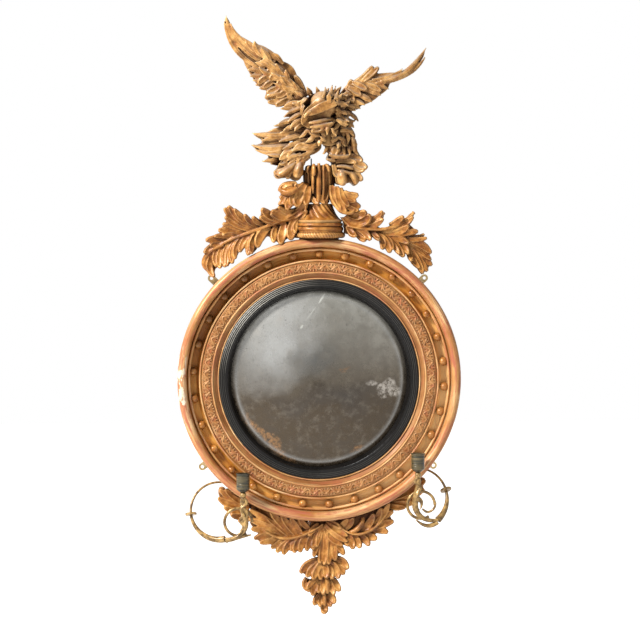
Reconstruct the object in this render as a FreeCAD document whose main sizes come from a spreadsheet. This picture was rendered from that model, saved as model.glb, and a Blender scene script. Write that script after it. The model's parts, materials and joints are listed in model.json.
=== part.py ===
import FreeCAD, Part
import math
import os
import re

import Sketcher
from FreeCAD import Placement, Rotation, Vector

# Girandole mirror: a round convex glass in a turned and gilded frame, with a carved eagle on a
# plinth above, carved sprays and pendants, and two brass candle arms on hinge pins.
# Millimetres. X runs to the right seen from the front, Z up, and the front faces -Y.
# The origin is the centre of the round frame's back face, and the wall is the plane y = 0.

SIZES = {
    # the turned frame; a depth is measured forward from the wall
    "rim_radius": 305.0,
    "rim_width": 19.5,
    "rim_seat_depth": 52.0,
    "rim_side_height": 10.2,
    "carcass_inset": 25.0,
    "undercut_depth": 28.0,
    "band_seat_depth": 46.0,
    "cove_inset": 35.5,
    "cove_centre_depth": 53.0,
    "cove_arc_radius": 15.8,
    "band_inset": 52.0,
    "band_width": 21.3,
    "band_thickness": 7.0,
    "band_corner": 2.0,
    "moulding_width": 15.7,
    "moulding_seat_depth": 43.0,
    "moulding_outer_depth": 51.5,
    "moulding_inner_depth": 45.5,
    "moulding_arc_radius": 9.0,
    "lip_width": 5.0,
    "lip_back_depth": 40.0,
    # the ebonised slip and the glass
    "slip_gap": 0.8,
    "slip_width": 24.8,
    "slip_front_depth": 49.0,
    "slip_back_depth": 18.0,
    "slip_step": 5.5,
    "reed_count": 5,
    "glass_lap": 9.3,
    "glass_rise": 34.3,
    "glass_edge_depth": 26.7,
    "glass_thickness": 4.0,
    "fit_clearance": 0.3,
    # the back
    "board_lap": 13.7,
    "board_thickness": 8.0,
    "block_count": 8,
    "block_width": 12.0,
    "block_length": 40.0,
    "board_screw_count": 8,
    "screw_head_radius": 3.6,
    "screw_shank_radius": 1.75,
    "screw_length": 22.0,
    # the gilt balls in the cove
    "ball_count": 30,
    "ball_radius": 9.3,
    "ball_offset": 2.0,
    "ball_drift": 2.3,
    "peg_radius": 2.0,
    "peg_length": 18.0,
    # the brass wall plates
    "eye_overhang": 12.0,
    "eye_radius": 8.0,
    "eye_hole_radius": 3.5,
    "wall_plate_length": 77.0,
    "wall_plate_width": 16.0,
    "wall_plate_thickness": 2.0,
    "upper_plate_angle": 46.8,
    "lower_plate_angle": 127.4,
    "plate_screw_spacing": 20.0,
    # the plinth; a rise is measured up from the top of the rim
    "plinth_axis_depth": 36.0,
    "plinth_radius": 50.0,
    "plinth_core_radius": 43.0,
    "plinth_base_rise": 32.0,
    "rope_rise": 6.0,
    "rope_radius": 6.0,
    "socle_height": 41.0,
    "column_height": 85.0,
    "column_radius": 25.0,
    "column_top_radius": 33.0,
    "chain_pin_radius": 1.4,
    "chain_pin_height": 26.0,
    "chain_pin_offset": -16.6,
    "dowel_radius": 5.0,
    "dowel_length": 60.0,
    "dowel_offset": 22.0,
    "dowel_depth": 26.0,
    # the eagle
    "breast_thickness": 48.0,
    "breast_bow": 18.0,
    "skull_half_width": 37.0,
    "skull_radius": 32.0,
    "skull_depth": 82.0,
    "beak_width": 26.0,
    "wing_thickness": 22.0,
    "leg_back_depth": 8.0,
    "leg_front_depth": 66.0,
    "tail_thickness": 26.0,
    # carved leaves
    "spray_thickness": 15.0,
    "apron_thickness": 17.0,
    "pendant_back_depth": 12.0,
    "pendant_front_depth": 46.0,
    "bracket_leaf_thickness": 30.0,
    "apron_block_width": 62.0,
    "apron_block_drop": 22.0,
    # the candle arms
    "arm_eye_radius": 5.5,
    "arm_eye_height": 12.0,
    "hinge_depth": 22.0,
    "hinge_pin_radius": 2.6,
    "hinge_pin_length": 22.0,
    "hinge_clearance": 0.08,
    "lug_thickness": 4.0,
    "bracket_plate_thickness": 3.0,
    "bracket_plate_height": 21.0,
    "bracket_plate_width": 19.0,
    "left_scroll_x": -219.0,
    "left_scroll_z": -281.0,
    "left_scroll_radius": 58.0,
    "left_scroll_start": 62.0,
    "left_scroll_end": 285.0,
    "left_cup_x": -165.5,
    "left_cup_top": -196.0,
    "left_ring_x": -175.5,
    "left_ring_z": -302.0,
    "right_scroll_x": 217.5,
    "right_scroll_z": -253.5,
    "right_scroll_radius": 57.5,
    "right_scroll_start": 90.0,
    "right_scroll_end": 232.0,
    "right_cup_x": 209.0,
    "right_cup_top": -155.0,
    "right_ring_x": 217.0,
    "right_ring_z": -268.0,
    "mouth_depth": 95.0,
    "cup_depth": 98.0,
    "tube_start_radius": 2.2,
    "tube_end_radius": 2.9,
    "horn_mouth_radius": 7.6,
    "collar_radius": 12.5,
    "collar_thickness": 5.0,
    "arm_ring_radius": 29.5,
    "arm_ring_thickness": 6.4,
    "arm_stem_radius": 6.5,
    "knop_radius": 7.2,
    "knop_height": 12.0,
    "cup_radius": 14.2,
    "cup_height": 41.0,
    "candle_bore_radius": 11.0,
    "candle_bore_depth": 27.0,
}

# sizes that follow from the others; every ring keeps its distance from the one outside it
DERIVED = {
    "carcass_radius": "rim_radius - carcass_inset",
    "cove_centre_radius": "rim_radius - cove_inset",
    "ball_circle_radius": "cove_centre_radius + ball_offset",
    "band_outer_radius": "rim_radius - band_inset",
    "band_inner_radius": "band_outer_radius - band_width",
    "lip_radius": "band_inner_radius - moulding_width + fit_clearance",
    "rebate_radius": "lip_radius + lip_width",
    "board_radius": "rebate_radius + board_lap",
    "board_rebate_radius": "board_radius + fit_clearance",
    "slip_outer_radius": "lip_radius - slip_gap",
    "glass_sight_radius": "slip_outer_radius - slip_width",
    "glass_radius": "glass_sight_radius + glass_lap",
    "glass_bulge_radius": "(glass_radius ^ 2 + glass_rise ^ 2) / (2 * glass_rise)",
    "glass_apex_depth": "glass_edge_depth + glass_rise",
    "eye_circle_radius": "rim_radius + eye_overhang",
}

# the rim radius that the leaves beside the frame and the candle arms are drawn for
DRAWN_RIM_RADIUS = 305.0

document = FreeCAD.newDocument("girandole_mirror")
sheet = document.addObject("Spreadsheet::Sheet", "sizes")
cells = {**{alias: str(value) for alias, value in SIZES.items()},
         **{alias: "=" + text for alias, text in DERIVED.items()}}
for row, (alias, content) in enumerate(cells.items(), start=1):
    sheet.set(f"A{row}", alias.replace("_", " "))
    sheet.setAlias(f"B{row}", alias)
    sheet.set(f"B{row}", content)
document.recompute()

NODES = []


# ---- small helpers ----

def size(alias):
    return float(getattr(sheet, alias))


def formula(text):
    """Puts the sheet's name before every size in a formula."""
    return re.sub(r"[a-z]\w*", lambda word: "sizes." + word[0] if word[0] in cells else word[0], text)


def frame_growth():
    """How much larger the frame is than the one its leaves and arms are drawn for."""
    return size("rim_radius") / DRAWN_RIM_RADIUS


def worked_out(text):
    return float(sheet.evalExpression(re.sub(r"sizes\.", "", formula(text))))


def bind(item, **formulas):
    """Ties properties of an object to formulas of the sheet."""
    for path, text in formulas.items():
        item.setExpression(path.replace("__", "."), formula(text))


def node(item, name):
    """Names an object as a sub-part and keeps it for writing."""
    item.Label = name
    NODES.append(item)
    return item


def shaped(name, shape, placement=None):
    """An object with a shape of its own, for the carved and scrolled forms."""
    item = document.addObject("Part::Feature", name)
    item.Shape = shape
    item.Placement = placement or Placement()
    return item


def origin_plane(body, role):
    return next(item for item in body.Origin.OriginFeatures if item.Role == role)


def arc_between(start, end, radius):
    """Part of a circle from start to end that turns left where the radius is positive."""
    chord = end - start
    left = Vector(-chord.y, chord.x, 0).normalize()
    rise = math.sqrt(max(radius * radius - (chord.Length / 2) ** 2, 0))
    centre = (start + end) * 0.5 + left * math.copysign(rise, radius)
    first, last = (start, end) if radius > 0 else (end, start)
    angles = [math.atan2(spot.y - centre.y, spot.x - centre.x) for spot in (first, last)]
    circle = Part.Circle(centre, Vector(0, 0, 1), abs(radius))
    return Part.ArcOfCircle(circle, *angles)


def draw_outline(body, role, corners):
    """A closed sketch. A corner is two formulas, and a third one is the radius of the arc that
    leads on to the next corner."""
    sketch = body.newObject("Sketcher::SketchObject", body.Name + "_outline")
    sketch.AttachmentSupport = [(origin_plane(body, role), "")]
    sketch.MapMode = "FlatFace"
    spots = [Vector(worked_out(corner[0]), worked_out(corner[1]), 0) for corner in corners]
    ends = []
    for index, corner in enumerate(corners):
        start, end = spots[index], spots[(index + 1) % len(spots)]
        if len(corner) == 3:
            radius = worked_out(corner[2])
            edge = sketch.addGeometry(arc_between(start, end, radius), False)
            ends.append((edge, 1, 2) if radius > 0 else (edge, 2, 1))
        else:
            edge = sketch.addGeometry(Part.LineSegment(start, end), False)
            ends.append((edge, 1, 2))
    for index, corner in enumerate(corners):
        edge, first, last = ends[index]
        following, start, _ = ends[(index + 1) % len(ends)]
        sketch.addConstraint(Sketcher.Constraint("Coincident", edge, last, following, start))
        for kind, text in zip(("DistanceX", "DistanceY"), corner):
            rule = Sketcher.Constraint(kind, -1, 1, edge, first, worked_out(text))
            number = sketch.addConstraint(rule)
            sketch.setExpression(f"Constraints[{number}]", formula(text))
        if len(corner) == 3:
            rule = Sketcher.Constraint("Radius", edge, abs(worked_out(corner[2])))
            number = sketch.addConstraint(rule)
            sketch.setExpression(f"Constraints[{number}]", f"abs({formula(corner[2])})")
    return sketch


def turned(name, role, corners):
    """A lathe-turned body: its outline swings round the sketch's upright axis. In XY_Plane that
    is the frame's own axis, and in XZ_Plane it is a vertical one."""
    body = document.addObject("PartDesign::Body", name)
    sketch = draw_outline(body, role, corners)
    solid = body.newObject("PartDesign::Revolution", name + "_turned")
    solid.Profile = sketch
    solid.ReferenceAxis = (sketch, ["V_Axis"])
    solid.Angle = 360
    return body


def cut_by(name, base, tools):
    """A piece with the space of its neighbours taken out of it."""
    tool = tools[0]
    if len(tools) > 1:
        tool = document.addObject("Part::Compound", name + "_neighbours")
        tool.Links = tools
    cut = document.addObject("Part::Cut", name)
    cut.Base = base
    cut.Tool = tool
    return cut


def fused(name, pieces):
    item = document.addObject("Part::MultiFuse", name)
    item.Shapes = pieces
    item.Refine = True
    return item


def group(name, pieces):
    item = document.addObject("Part::Compound", name)
    item.Links = pieces
    return item


def cylinder(name, radius, height, placement=None, **formulas):
    item = document.addObject("Part::Cylinder", name)
    item.Placement = placement or Placement()
    bind(item, Radius=radius, Height=height, **formulas)
    return item


def box(name, length, width, height, placement=None, **formulas):
    item = document.addObject("Part::Box", name)
    item.Placement = placement or Placement()
    bind(item, Length=length, Width=width, Height=height, **formulas)
    return item


def copies(name, master, placements):
    """Separate solids like one master piece."""
    document.recompute()
    made = []
    for number, placement in enumerate(placements, start=1):
        item = shaped(f"{name}_{number}", master.Shape.copy(), placement)
        made.append(item)
    return made


def clock_spot(radius, angle, depth):
    """A spot at an angle clockwise from the top, seen from the front."""
    turn = math.radians(angle)
    return Vector(radius * math.sin(turn), -depth, radius * math.cos(turn))


FORWARD = Rotation(Vector(1, 0, 0), 90)
BACKWARD = Rotation(Vector(1, 0, 0), -90)


# ---- screws, pegs and dowels, which their holes are cut by ----

def countersunk_screw():
    """Head face at the origin, shank towards -Y."""
    return turned("countersunk_screw", "XY_Plane", [
        ("0", "0"),
        ("0", "-screw_length"),
        ("screw_shank_radius * 0.4", "-screw_length"),
        ("screw_shank_radius", "-screw_length + screw_shank_radius * 2"),
        ("screw_shank_radius", "screw_shank_radius - screw_head_radius"),
        ("screw_head_radius", "0"),
    ])


def board_screws(screw):
    """Screws round the edge of the back board."""
    circle = (size("board_radius") + size("rebate_radius")) / 2
    step = 360 / size("board_screw_count")
    spots = [
        Placement(clock_spot(circle, step * (turn + 0.5), 0), Rotation())
        for turn in range(int(size("board_screw_count")))
    ]
    return copies("board_screw", screw, spots)


def plate_angles():
    upper, lower = size("upper_plate_angle"), size("lower_plate_angle")
    return {"upper_right": upper, "lower_right": lower, "lower_left": -lower, "upper_left": -upper}


def plate_screws(screw):
    """Two screws through the inner part of each wall plate."""
    first = size("eye_circle_radius") - size("wall_plate_length") + size("wall_plate_width") / 2
    spots = [
        Placement(clock_spot(first + size("plate_screw_spacing") * place, angle, 0), Rotation())
        for angle in plate_angles().values() for place in (0, 1)
    ]
    return copies("plate_screw", screw, spots)


def ball_angle(number):
    """The balls drift a little anticlockwise on their way round, as they do on the object."""
    even = f"{number} * 360 / ball_count"
    return f"({even} - ball_drift * (1 - cos({even})))"


def ball_depth():
    """A ball rests in the cove on its round back."""
    reach = "(cove_arc_radius - ball_radius - 0.1)"
    offset = "(ball_circle_radius - cove_centre_radius)"
    return f"(cove_centre_depth - sqrt({reach} ^ 2 - {offset} ^ 2))"


def balls():
    """Gilt balls, each turned in one piece with the peg that holds it in the carcass."""
    made = []
    for number in range(int(size("ball_count"))):
        place = {
            "Placement__Base__x": f"ball_circle_radius * sin({ball_angle(number)})",
            "Placement__Base__y": f"-{ball_depth()}",
            "Placement__Base__z": f"ball_circle_radius * cos({ball_angle(number)})",
        }
        ball = document.addObject("Part::Sphere", f"ball_{number}")
        bind(ball, Radius="ball_radius", **place)
        peg = cylinder(f"peg_{number}", "peg_radius", "peg_length", Placement(Vector(), BACKWARD), **place)
        made.append(fused(f"ball_and_peg_{number}", [ball, peg]))
    return made


def crest_dowels():
    """Two dowels that hold the plinth on the carcass."""
    made = []
    for side in (-1, 1):
        made.append(cylinder(
            "crest_dowel_" + ("left" if side < 0 else "right"), "dowel_radius", "dowel_length",
            Placement__Base__x=f"{side} * dowel_offset",
            Placement__Base__y="-dowel_depth",
            Placement__Base__z="carcass_radius - dowel_length * 0.45",
        ))
    return made


# ---- the turned frame ----

def carcass_body():
    lift = "(cove_centre_depth - rim_seat_depth)"
    drop = "(cove_centre_depth - band_seat_depth)"
    return turned("carcass_turned", "XY_Plane", [
        ("board_rebate_radius", "0"),
        ("carcass_radius", "0"),
        ("carcass_radius", "-undercut_depth"),
        ("rim_radius - 2", "-(band_seat_depth - 4)"),
        ("rim_radius - 2", "-rim_seat_depth"),
        (f"cove_centre_radius + sqrt(cove_arc_radius ^ 2 - {lift} ^ 2)", "-rim_seat_depth",
         "cove_arc_radius"),
        (f"cove_centre_radius - sqrt(cove_arc_radius ^ 2 - {drop} ^ 2)", "-band_seat_depth"),
        ("band_inner_radius", "-band_seat_depth"),
        ("band_inner_radius", "-moulding_seat_depth"),
        ("lip_radius", "-moulding_seat_depth"),
        ("lip_radius", "-lip_back_depth"),
        ("rebate_radius", "-lip_back_depth"),
        ("rebate_radius", "-board_thickness"),
        ("board_rebate_radius", "-board_thickness"),
    ])


def outer_rim():
    inner = "(rim_radius - rim_width)"
    shoulder = "-(rim_seat_depth + rim_side_height)"
    crown = "-(rim_seat_depth + rim_side_height + rim_width / 2)"
    return turned("rim_turned", "XY_Plane", [
        (inner, "-rim_seat_depth"),
        ("rim_radius", "-rim_seat_depth"),
        ("rim_radius", shoulder, "-rim_width / 2"),
        ("rim_radius - rim_width / 2", crown, "-rim_width / 2"),
        (inner, shoulder),
    ])


def ribbon_band():
    front = "(band_seat_depth + band_thickness)"
    return turned("band_turned", "XY_Plane", [
        ("band_inner_radius", "-band_seat_depth"),
        ("band_outer_radius", "-band_seat_depth"),
        ("band_outer_radius", f"-({front} - band_corner)", "-band_corner"),
        ("band_outer_radius - band_corner", f"-{front}"),
        (f"band_inner_radius + band_corner", f"-{front}", "-band_corner"),
        ("band_inner_radius", f"-({front} - band_corner)"),
    ])


def inner_moulding():
    inner = f"(band_inner_radius - moulding_width + fit_clearance)"
    return turned("moulding_turned", "XY_Plane", [
        (inner, "-moulding_seat_depth"),
        ("band_inner_radius", "-moulding_seat_depth"),
        ("band_inner_radius", "-moulding_outer_depth", "-moulding_arc_radius"),
        (f"({inner} + band_inner_radius) / 2", "-(moulding_outer_depth + moulding_inner_depth) / 2",
         "moulding_arc_radius"),
        (inner, "-moulding_inner_depth"),
    ])


def ebonised_slip():
    """A reeded slip that holds the glass from the front and is held by the carcass's lip."""
    reeds = int(size("reed_count"))
    pitch = "((slip_width - slip_step - 1) / reed_count)"
    corners = [
        (f"rebate_radius - fit_clearance", "-slip_back_depth"),
        (f"rebate_radius - fit_clearance", "-lip_back_depth"),
        ("slip_outer_radius", "-lip_back_depth"),
        ("slip_outer_radius", "-(slip_front_depth - 3)"),
        (f"slip_outer_radius - 1", "-(slip_front_depth - 2)", f"-{pitch} * 0.65"),
    ]
    for reed in range(1, reeds):
        corners.append((f"slip_outer_radius - 1 - {reed} * {pitch}", "-(slip_front_depth - 1)",
                        f"-{pitch} * 0.65"))
    corners += [
        (f"slip_outer_radius - 1 - reed_count * {pitch}", "-(slip_front_depth - 3)"),
        ("glass_sight_radius + slip_step - 1", "-(slip_front_depth - 9)"),
        ("glass_sight_radius", f"-({GLASS_SIGHT_DEPTH} + 3)"),
        ("glass_sight_radius", f"-({GLASS_SIGHT_DEPTH} + 0.2)"),
        ("glass_radius + fit_clearance * 3", f"-({GLASS_SIGHT_DEPTH} + 0.2)"),
        ("glass_radius + fit_clearance * 3", "-slip_back_depth"),
    ]
    return turned("slip_turned", "XY_Plane", corners)


def glass_depth(radius, behind="0"):
    """Depth of the convex glass at a radius, or of a face that lies behind its front."""
    ball = f"(glass_bulge_radius - {behind})"
    return f"(glass_apex_depth - {behind} - {ball} + sqrt({ball} ^ 2 - ({radius}) ^ 2))"


GLASS_SIGHT_DEPTH = glass_depth("glass_sight_radius")


def mirror_plate():
    back = "(glass_bulge_radius - glass_thickness)"
    return turned("glass_turned", "XY_Plane", [
        ("0", "-glass_apex_depth", "glass_bulge_radius"),
        ("glass_radius", f"-{glass_depth('glass_radius')}"),
        ("glass_radius", f"-{glass_depth('glass_radius', 'glass_thickness')}", f"-{back}"),
        ("0", "-(glass_apex_depth - glass_thickness)"),
    ])


def packing_blocks():
    """Softwood blocks between the glass and the back board."""
    made = []
    front = glass_depth("glass_radius", "glass_thickness")
    for number in range(int(size("block_count"))):
        angle = 360 * number / size("block_count")
        block = box(f"packing_block_{number}", "block_length", "block_width",
                    f"{front} - board_thickness - 0.15")
        turn = Rotation(Vector(0, 1, 0), angle) * FORWARD
        corner = Vector(-size("block_length") / 2, -size("board_thickness"),
                        size("glass_radius") - 2 - size("block_width"))
        block.Placement = Placement(Rotation(Vector(0, 1, 0), angle).multVec(corner), turn)
        made.append(block)
    return made


def wall_plate(name, angle):
    """A brass strip let into the back, with an eye that stands out past the rim."""
    turn = Rotation(Vector(0, 1, 0), angle)
    inner = size("eye_circle_radius") - size("wall_plate_length")
    strip = box(name + "_strip", "wall_plate_width", "wall_plate_thickness", "wall_plate_length")
    strip.Placement = Placement(
        turn.multVec(Vector(-size("wall_plate_width") / 2, -size("wall_plate_thickness"), inner)), turn)
    eye_place = Placement(clock_spot(size("eye_circle_radius"), angle, 0), FORWARD)
    eye = cylinder(name + "_eye", "eye_radius", "wall_plate_thickness", eye_place)
    hole = cylinder(name + "_hole", "eye_hole_radius", "wall_plate_thickness", eye_place)
    plate = fused(name + "_blank", [strip, eye])
    return plate, cut_by(name + "_drilled", plate, [hole])


# ---- the plinth ----

def plinth_pieces():
    place = {
        "Placement__Base__y": "-plinth_axis_depth",
        "Placement__Base__z": "rim_radius",
    }
    top = "plinth_base_rise"
    base = turned("base_turned", "XZ_Plane", [
        ("0", "-30"),
        ("plinth_core_radius", "-30"),
        ("plinth_core_radius", "rope_rise + rope_radius"),
        ("plinth_radius + 1", "rope_rise + rope_radius"),
        ("plinth_radius + 1", "rope_rise + rope_radius + 3", "6"),
        ("plinth_radius - 2", f"{top} - 7"),
        ("plinth_radius", f"{top} - 7", "4"),
        ("plinth_radius", top),
        ("0", top),
    ])
    rope = turned("rope_turned", "XZ_Plane", [
        ("plinth_core_radius", "rope_rise - rope_radius"),
        ("plinth_radius", "rope_rise - rope_radius", "rope_radius * 1.02"),
        ("plinth_radius", "rope_rise + rope_radius"),
        ("plinth_core_radius", "rope_rise + rope_radius"),
    ])
    shoulder = f"({top} + socle_height)"
    socle = turned("socle_turned", "XZ_Plane", [
        ("0", top),
        ("plinth_radius - 2", top),
        ("plinth_radius", f"{top} + 6", "-50"),
        ("column_radius + 3", shoulder),
        ("0", shoulder),
    ])
    crown = f"({shoulder} + column_height)"
    column = turned("column_turned", "XZ_Plane", [
        ("0", shoulder),
        ("column_radius", shoulder),
        ("column_radius", f"{shoulder} + column_height * 0.5", "80"),
        ("column_top_radius", f"{crown} - 9", "9"),
        ("column_top_radius - 9", crown),
        ("0", crown),
    ])
    for piece in (base, rope, socle, column):
        bind(piece, **place)
    return base, rope, socle, column


def behind_wall():
    """Everything behind the wall plane, which flat backs are cut by."""
    slab = box("behind_wall", "rim_radius * 2", "rim_radius", "rim_radius * 5")
    slab.Placement = Placement(Vector(-size("rim_radius"), 0, -size("rim_radius") * 2), Rotation())
    return slab


def frame_clearance():
    """The space of the round frame, stepped as the carcass and the rim are."""
    gap = "fit_clearance"
    back = cylinder("carcass_space", f"carcass_radius + {gap}", "undercut_depth",
                    Placement(Vector(), FORWARD))
    front = cylinder("rim_space", f"rim_radius + {gap}", "rim_radius", Placement(Vector(), FORWARD),
                     Placement__Base__y=f"-undercut_depth + {gap}")
    return fused("frame_space", [back, front])


# ---- carved forms ----

def scalloped_face(corners, swell):
    """A flat outline in the XZ plane whose stretches swell outwards, as lobes do."""
    spots = [Vector(x, 0, z) for x, z in corners]
    area = sum(a.x * b.z - b.x * a.z for a, b in zip(spots, spots[1:] + spots[:1]))
    outward = 1 if area > 0 else -1
    edges = []
    for start, end in zip(spots, spots[1:] + spots[:1]):
        chord = end - start
        push = Vector(chord.z, 0, -chord.x) * (outward * swell)
        edges.append(Part.Arc(start, (start + end) * 0.5 + push, end).toShape())
    return Part.Face(Part.Wire(edges))


def carved_block(corners, back, front, swell=0.1):
    """A carved lump between two depths."""
    face = scalloped_face(corners, swell)
    face.translate(Vector(0, -back, 0))
    return face.extrude(Vector(0, back - front, 0))


def bowed_blade(corners, near, far, bow, thickness, swell=0.1, growth=1):
    """A leaf or wing: its outline cut from a sheet that bows forward between its two ends. Near
    and far are (x, depth) of the ends of the sheet's back."""
    deep = 400
    blank = carved_block(corners, -deep, deep, swell)
    start = Vector(near[0] * growth, -near[1], 0)
    end = Vector(far[0] * growth, -far[1], 0)
    middle = (start + end) * 0.5 + Vector(0, -bow, 0)
    lift = Vector(0, -thickness, 0)
    edges = [
        Part.Arc(start, middle, end).toShape(),
        Part.LineSegment(end, end + lift).toShape(),
        Part.Arc(end + lift, middle + lift, start + lift).toShape(),
        Part.LineSegment(start + lift, start).toShape(),
    ]
    sheet_face = Part.Face(Part.Wire(edges))
    sheet_face.translate(Vector(0, 0, -1500))
    return blank.common(sheet_face.extrude(Vector(0, 0, 3000)))


def above_rim(corners, growth=1):
    """Outline corners given as x and the rise above the top of the rim."""
    return [(x * growth, size("rim_radius") + rise * growth) for x, rise in corners]


def below_rim(corners, growth=1):
    """Outline corners given as x and the drop below the bottom of the rim."""
    return [(x * growth, -size("rim_radius") - drop * growth) for x, drop in corners]


def egg(centre, half_length, radius):
    """A turned lump with round ends, whose long axis runs from side to side."""
    half_straight = half_length - radius
    left = centre - Vector(half_straight, 0, 0)
    right = centre + Vector(half_straight, 0, 0)
    up = Vector(0, 0, radius)
    out = Vector(radius, 0, 0)
    slant = (up + out) * math.sqrt(0.5)
    back_slant = (up - out) * math.sqrt(0.5)
    outline = Part.Wire([
        Part.LineSegment(left - out, right + out).toShape(),
        Part.Arc(right + out, right + slant, right + up).toShape(),
        Part.LineSegment(right + up, left + up).toShape(),
        Part.Arc(left + up, left + back_slant, left - out).toShape(),
    ])
    return Part.Face(outline).revolve(centre, Vector(1, 0, 0), 360)


def eagle_skull():
    skull = shaped("skull", egg(Vector(11, -size("skull_depth"), size("rim_radius") + 286),
                                size("skull_half_width"), size("skull_radius")))
    width = size("beak_width")
    middle = size("skull_depth") + 12
    upper = carved_block(above_rim([
        (20, 290), (-2, 300), (-25, 285), (-42, 262), (-44, 240), (-37, 234), (-33, 243), (-22, 258),
        (0, 262), (25, 268),
    ]), middle - width / 2, middle + width / 2)
    lower = carved_block(above_rim([
        (25, 262), (0, 258), (-20, 252), (-34, 232), (-18, 229), (2, 234), (22, 244),
    ]), middle - width / 3, middle + width / 3)
    crest = carved_block(above_rim([
        (-8, 300), (2, 309), (10, 317), (17, 312), (25, 322), (31, 312), (38, 313), (46, 300), (20, 290),
    ]), size("skull_depth") - 16, size("skull_depth") + 16)
    return fused("eagle_head_carved", [skull] + [
        shaped("beak_upper", upper), shaped("beak_lower", lower), shaped("head_crest", crest)])


def eagle_breast():
    return bowed_blade(above_rim([
        (-38, 250), (-42, 285), (-20, 305), (12, 312), (44, 305), (62, 285), (66, 250), (56, 215),
        (32, 196), (8, 196), (-18, 212),
    ]), (-50, 12), (74, 12), size("breast_bow"), size("breast_thickness"))


def eagle_left_wing():
    """The broad wing, whose front is seen."""
    return bowed_blade(above_rim([
        (-20, 262), (-24, 300), (-33, 327), (-45, 347), (-55, 367), (-72, 378), (-88, 381),
        (-98, 394), (-120, 401), (-138, 415), (-141, 400), (-156, 415), (-163, 429), (-178, 437),
        (-186, 452), (-191, 467), (-200, 477), (-205, 460), (-199, 443), (-190, 420), (-180, 400),
        (-165, 382), (-154, 357), (-145, 342), (-136, 328), (-122, 316), (-113, 315), (-120, 298),
        (-100, 286), (-78, 283), (-60, 268), (-40, 255),
    ]), (0, 22), (-215, 12), 16, size("wing_thickness"), 0.06)


def eagle_right_wing():
    """The wing that is seen along its edge, with its chord running forward."""
    return bowed_blade(above_rim([
        (32, 285), (45, 312), (62, 327), (69, 336), (93, 346), (105, 363), (122, 365), (124, 353),
        (145, 346), (165, 352), (192, 367), (205, 381), (220, 399), (230, 409), (226, 386), (210, 367),
        (192, 350), (175, 339), (152, 329), (148, 317), (130, 303), (110, 288), (93, 282), (72, 270),
        (58, 255), (40, 255),
    ]), (10, 16), (240, 10), 22, size("wing_thickness") * 1.6, 0.06)


def eagle_tail():
    """The fan of long feathers that sweeps to the left."""
    return bowed_blade(above_rim([
        (0, 215), (-20, 240), (-60, 244), (-94, 238), (-112, 229), (-146, 224), (-131, 211),
        (-106, 207), (-147, 198), (-131, 183), (-106, 176), (-125, 163), (-98, 157), (-72, 168),
        (-30, 202),
    ]), (10, 22), (-160, 14), 14, size("tail_thickness"), 0.04)


def eagle_left_leg():
    return carved_block(above_rim([
        (6, 190), (4, 208), (-30, 216), (-66, 200), (-80, 170), (-92, 152), (-100, 135), (-92, 124),
        (-80, 126), (-66, 128), (-50, 119), (-38, 126), (-37, 158), (-20, 174),
    ]), size("leg_back_depth"), size("leg_front_depth"))


def eagle_right_leg():
    return carved_block(above_rim([
        (8, 208), (15, 195), (20, 183), (13, 168), (28, 160), (22, 150), (32, 136), (34, 114), (46, 111),
        (58, 114), (66, 118), (75, 108), (90, 124), (88, 143), (101, 152), (91, 165), (83, 188), (78, 212),
        (68, 230), (64, 246), (36, 250),
    ]), size("leg_back_depth"), size("leg_front_depth"))


def left_bracket_leaf():
    return bowed_blade(above_rim([
        (-20, 118), (-42, 119), (-58, 112), (-62, 116), (-77, 115), (-88, 104), (-84, 94), (-86, 87),
        (-79, 83), (-88, 69), (-78, 61), (-69, 61), (-64, 68), (-45, 67), (-26, 76), (-16, 96),
    ]), (-10, 26), (-95, 22), 12, size("bracket_leaf_thickness"))


def right_bracket_leaf():
    return bowed_blade(above_rim([
        (20, 112), (45, 109), (58, 101), (68, 98), (82, 92), (73, 83), (80, 75), (88, 65), (78, 55),
        (60, 48), (46, 50), (34, 62), (18, 84),
    ]), (10, 26), (95, 22), 12, size("bracket_leaf_thickness"))


def left_spray():
    growth = frame_growth()
    return bowed_blade(above_rim([
        (-38, 72), (-66, 62), (-84, 68), (-101, 61), (-104, 54), (-112, 60), (-122, 66), (-127, 54),
        (-128, 36), (-140, 45), (-149, 39), (-158, 51), (-168, 50), (-182, 62), (-196, 70), (-204, 62),
        (-198, 36), (-215, 17), (-205, 6), (-224, 4), (-242, -3), (-232, -16), (-246, -30), (-249, -45),
        (-245, -64), (-235, -74), (-225, -84), (-222, -66), (-214, -64), (-209, -55), (-202, -62),
        (-186, -54), (-170, -30), (-160, -21), (-151, -36), (-141, -34), (-129, -18), (-110, 6),
        (-104, -5), (-97, -8), (-84, -12), (-66, -2), (-56, -1), (-40, 30),
    ], growth), (-30, 34), (-255, 16), 14, size("spray_thickness"), 0.07, growth)


def right_spray():
    growth = frame_growth()
    return bowed_blade(above_rim([
        (40, 45), (52, 46), (76, 55), (97, 58), (107, 48), (119, 49), (132, 58), (142, 56), (137, 35),
        (116, 26), (140, 20), (158, 31), (175, 47), (186, 43), (200, 57), (208, 55), (203, 40), (194, 31),
        (211, 15), (203, 6), (226, 6), (233, 0), (225, -8), (240, -22), (243, -36), (239, -44), (244, -58),
        (232, -73), (222, -78), (218, -68), (196, -48), (190, -28), (180, -41), (168, -30), (158, -20),
        (150, -31), (140, -24), (131, -22), (127, -5), (113, 0), (104, -4), (92, -8), (72, 6), (52, 8),
    ], growth), (30, 34), (250, 16), 14, size("spray_thickness"), 0.07, growth)


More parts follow.
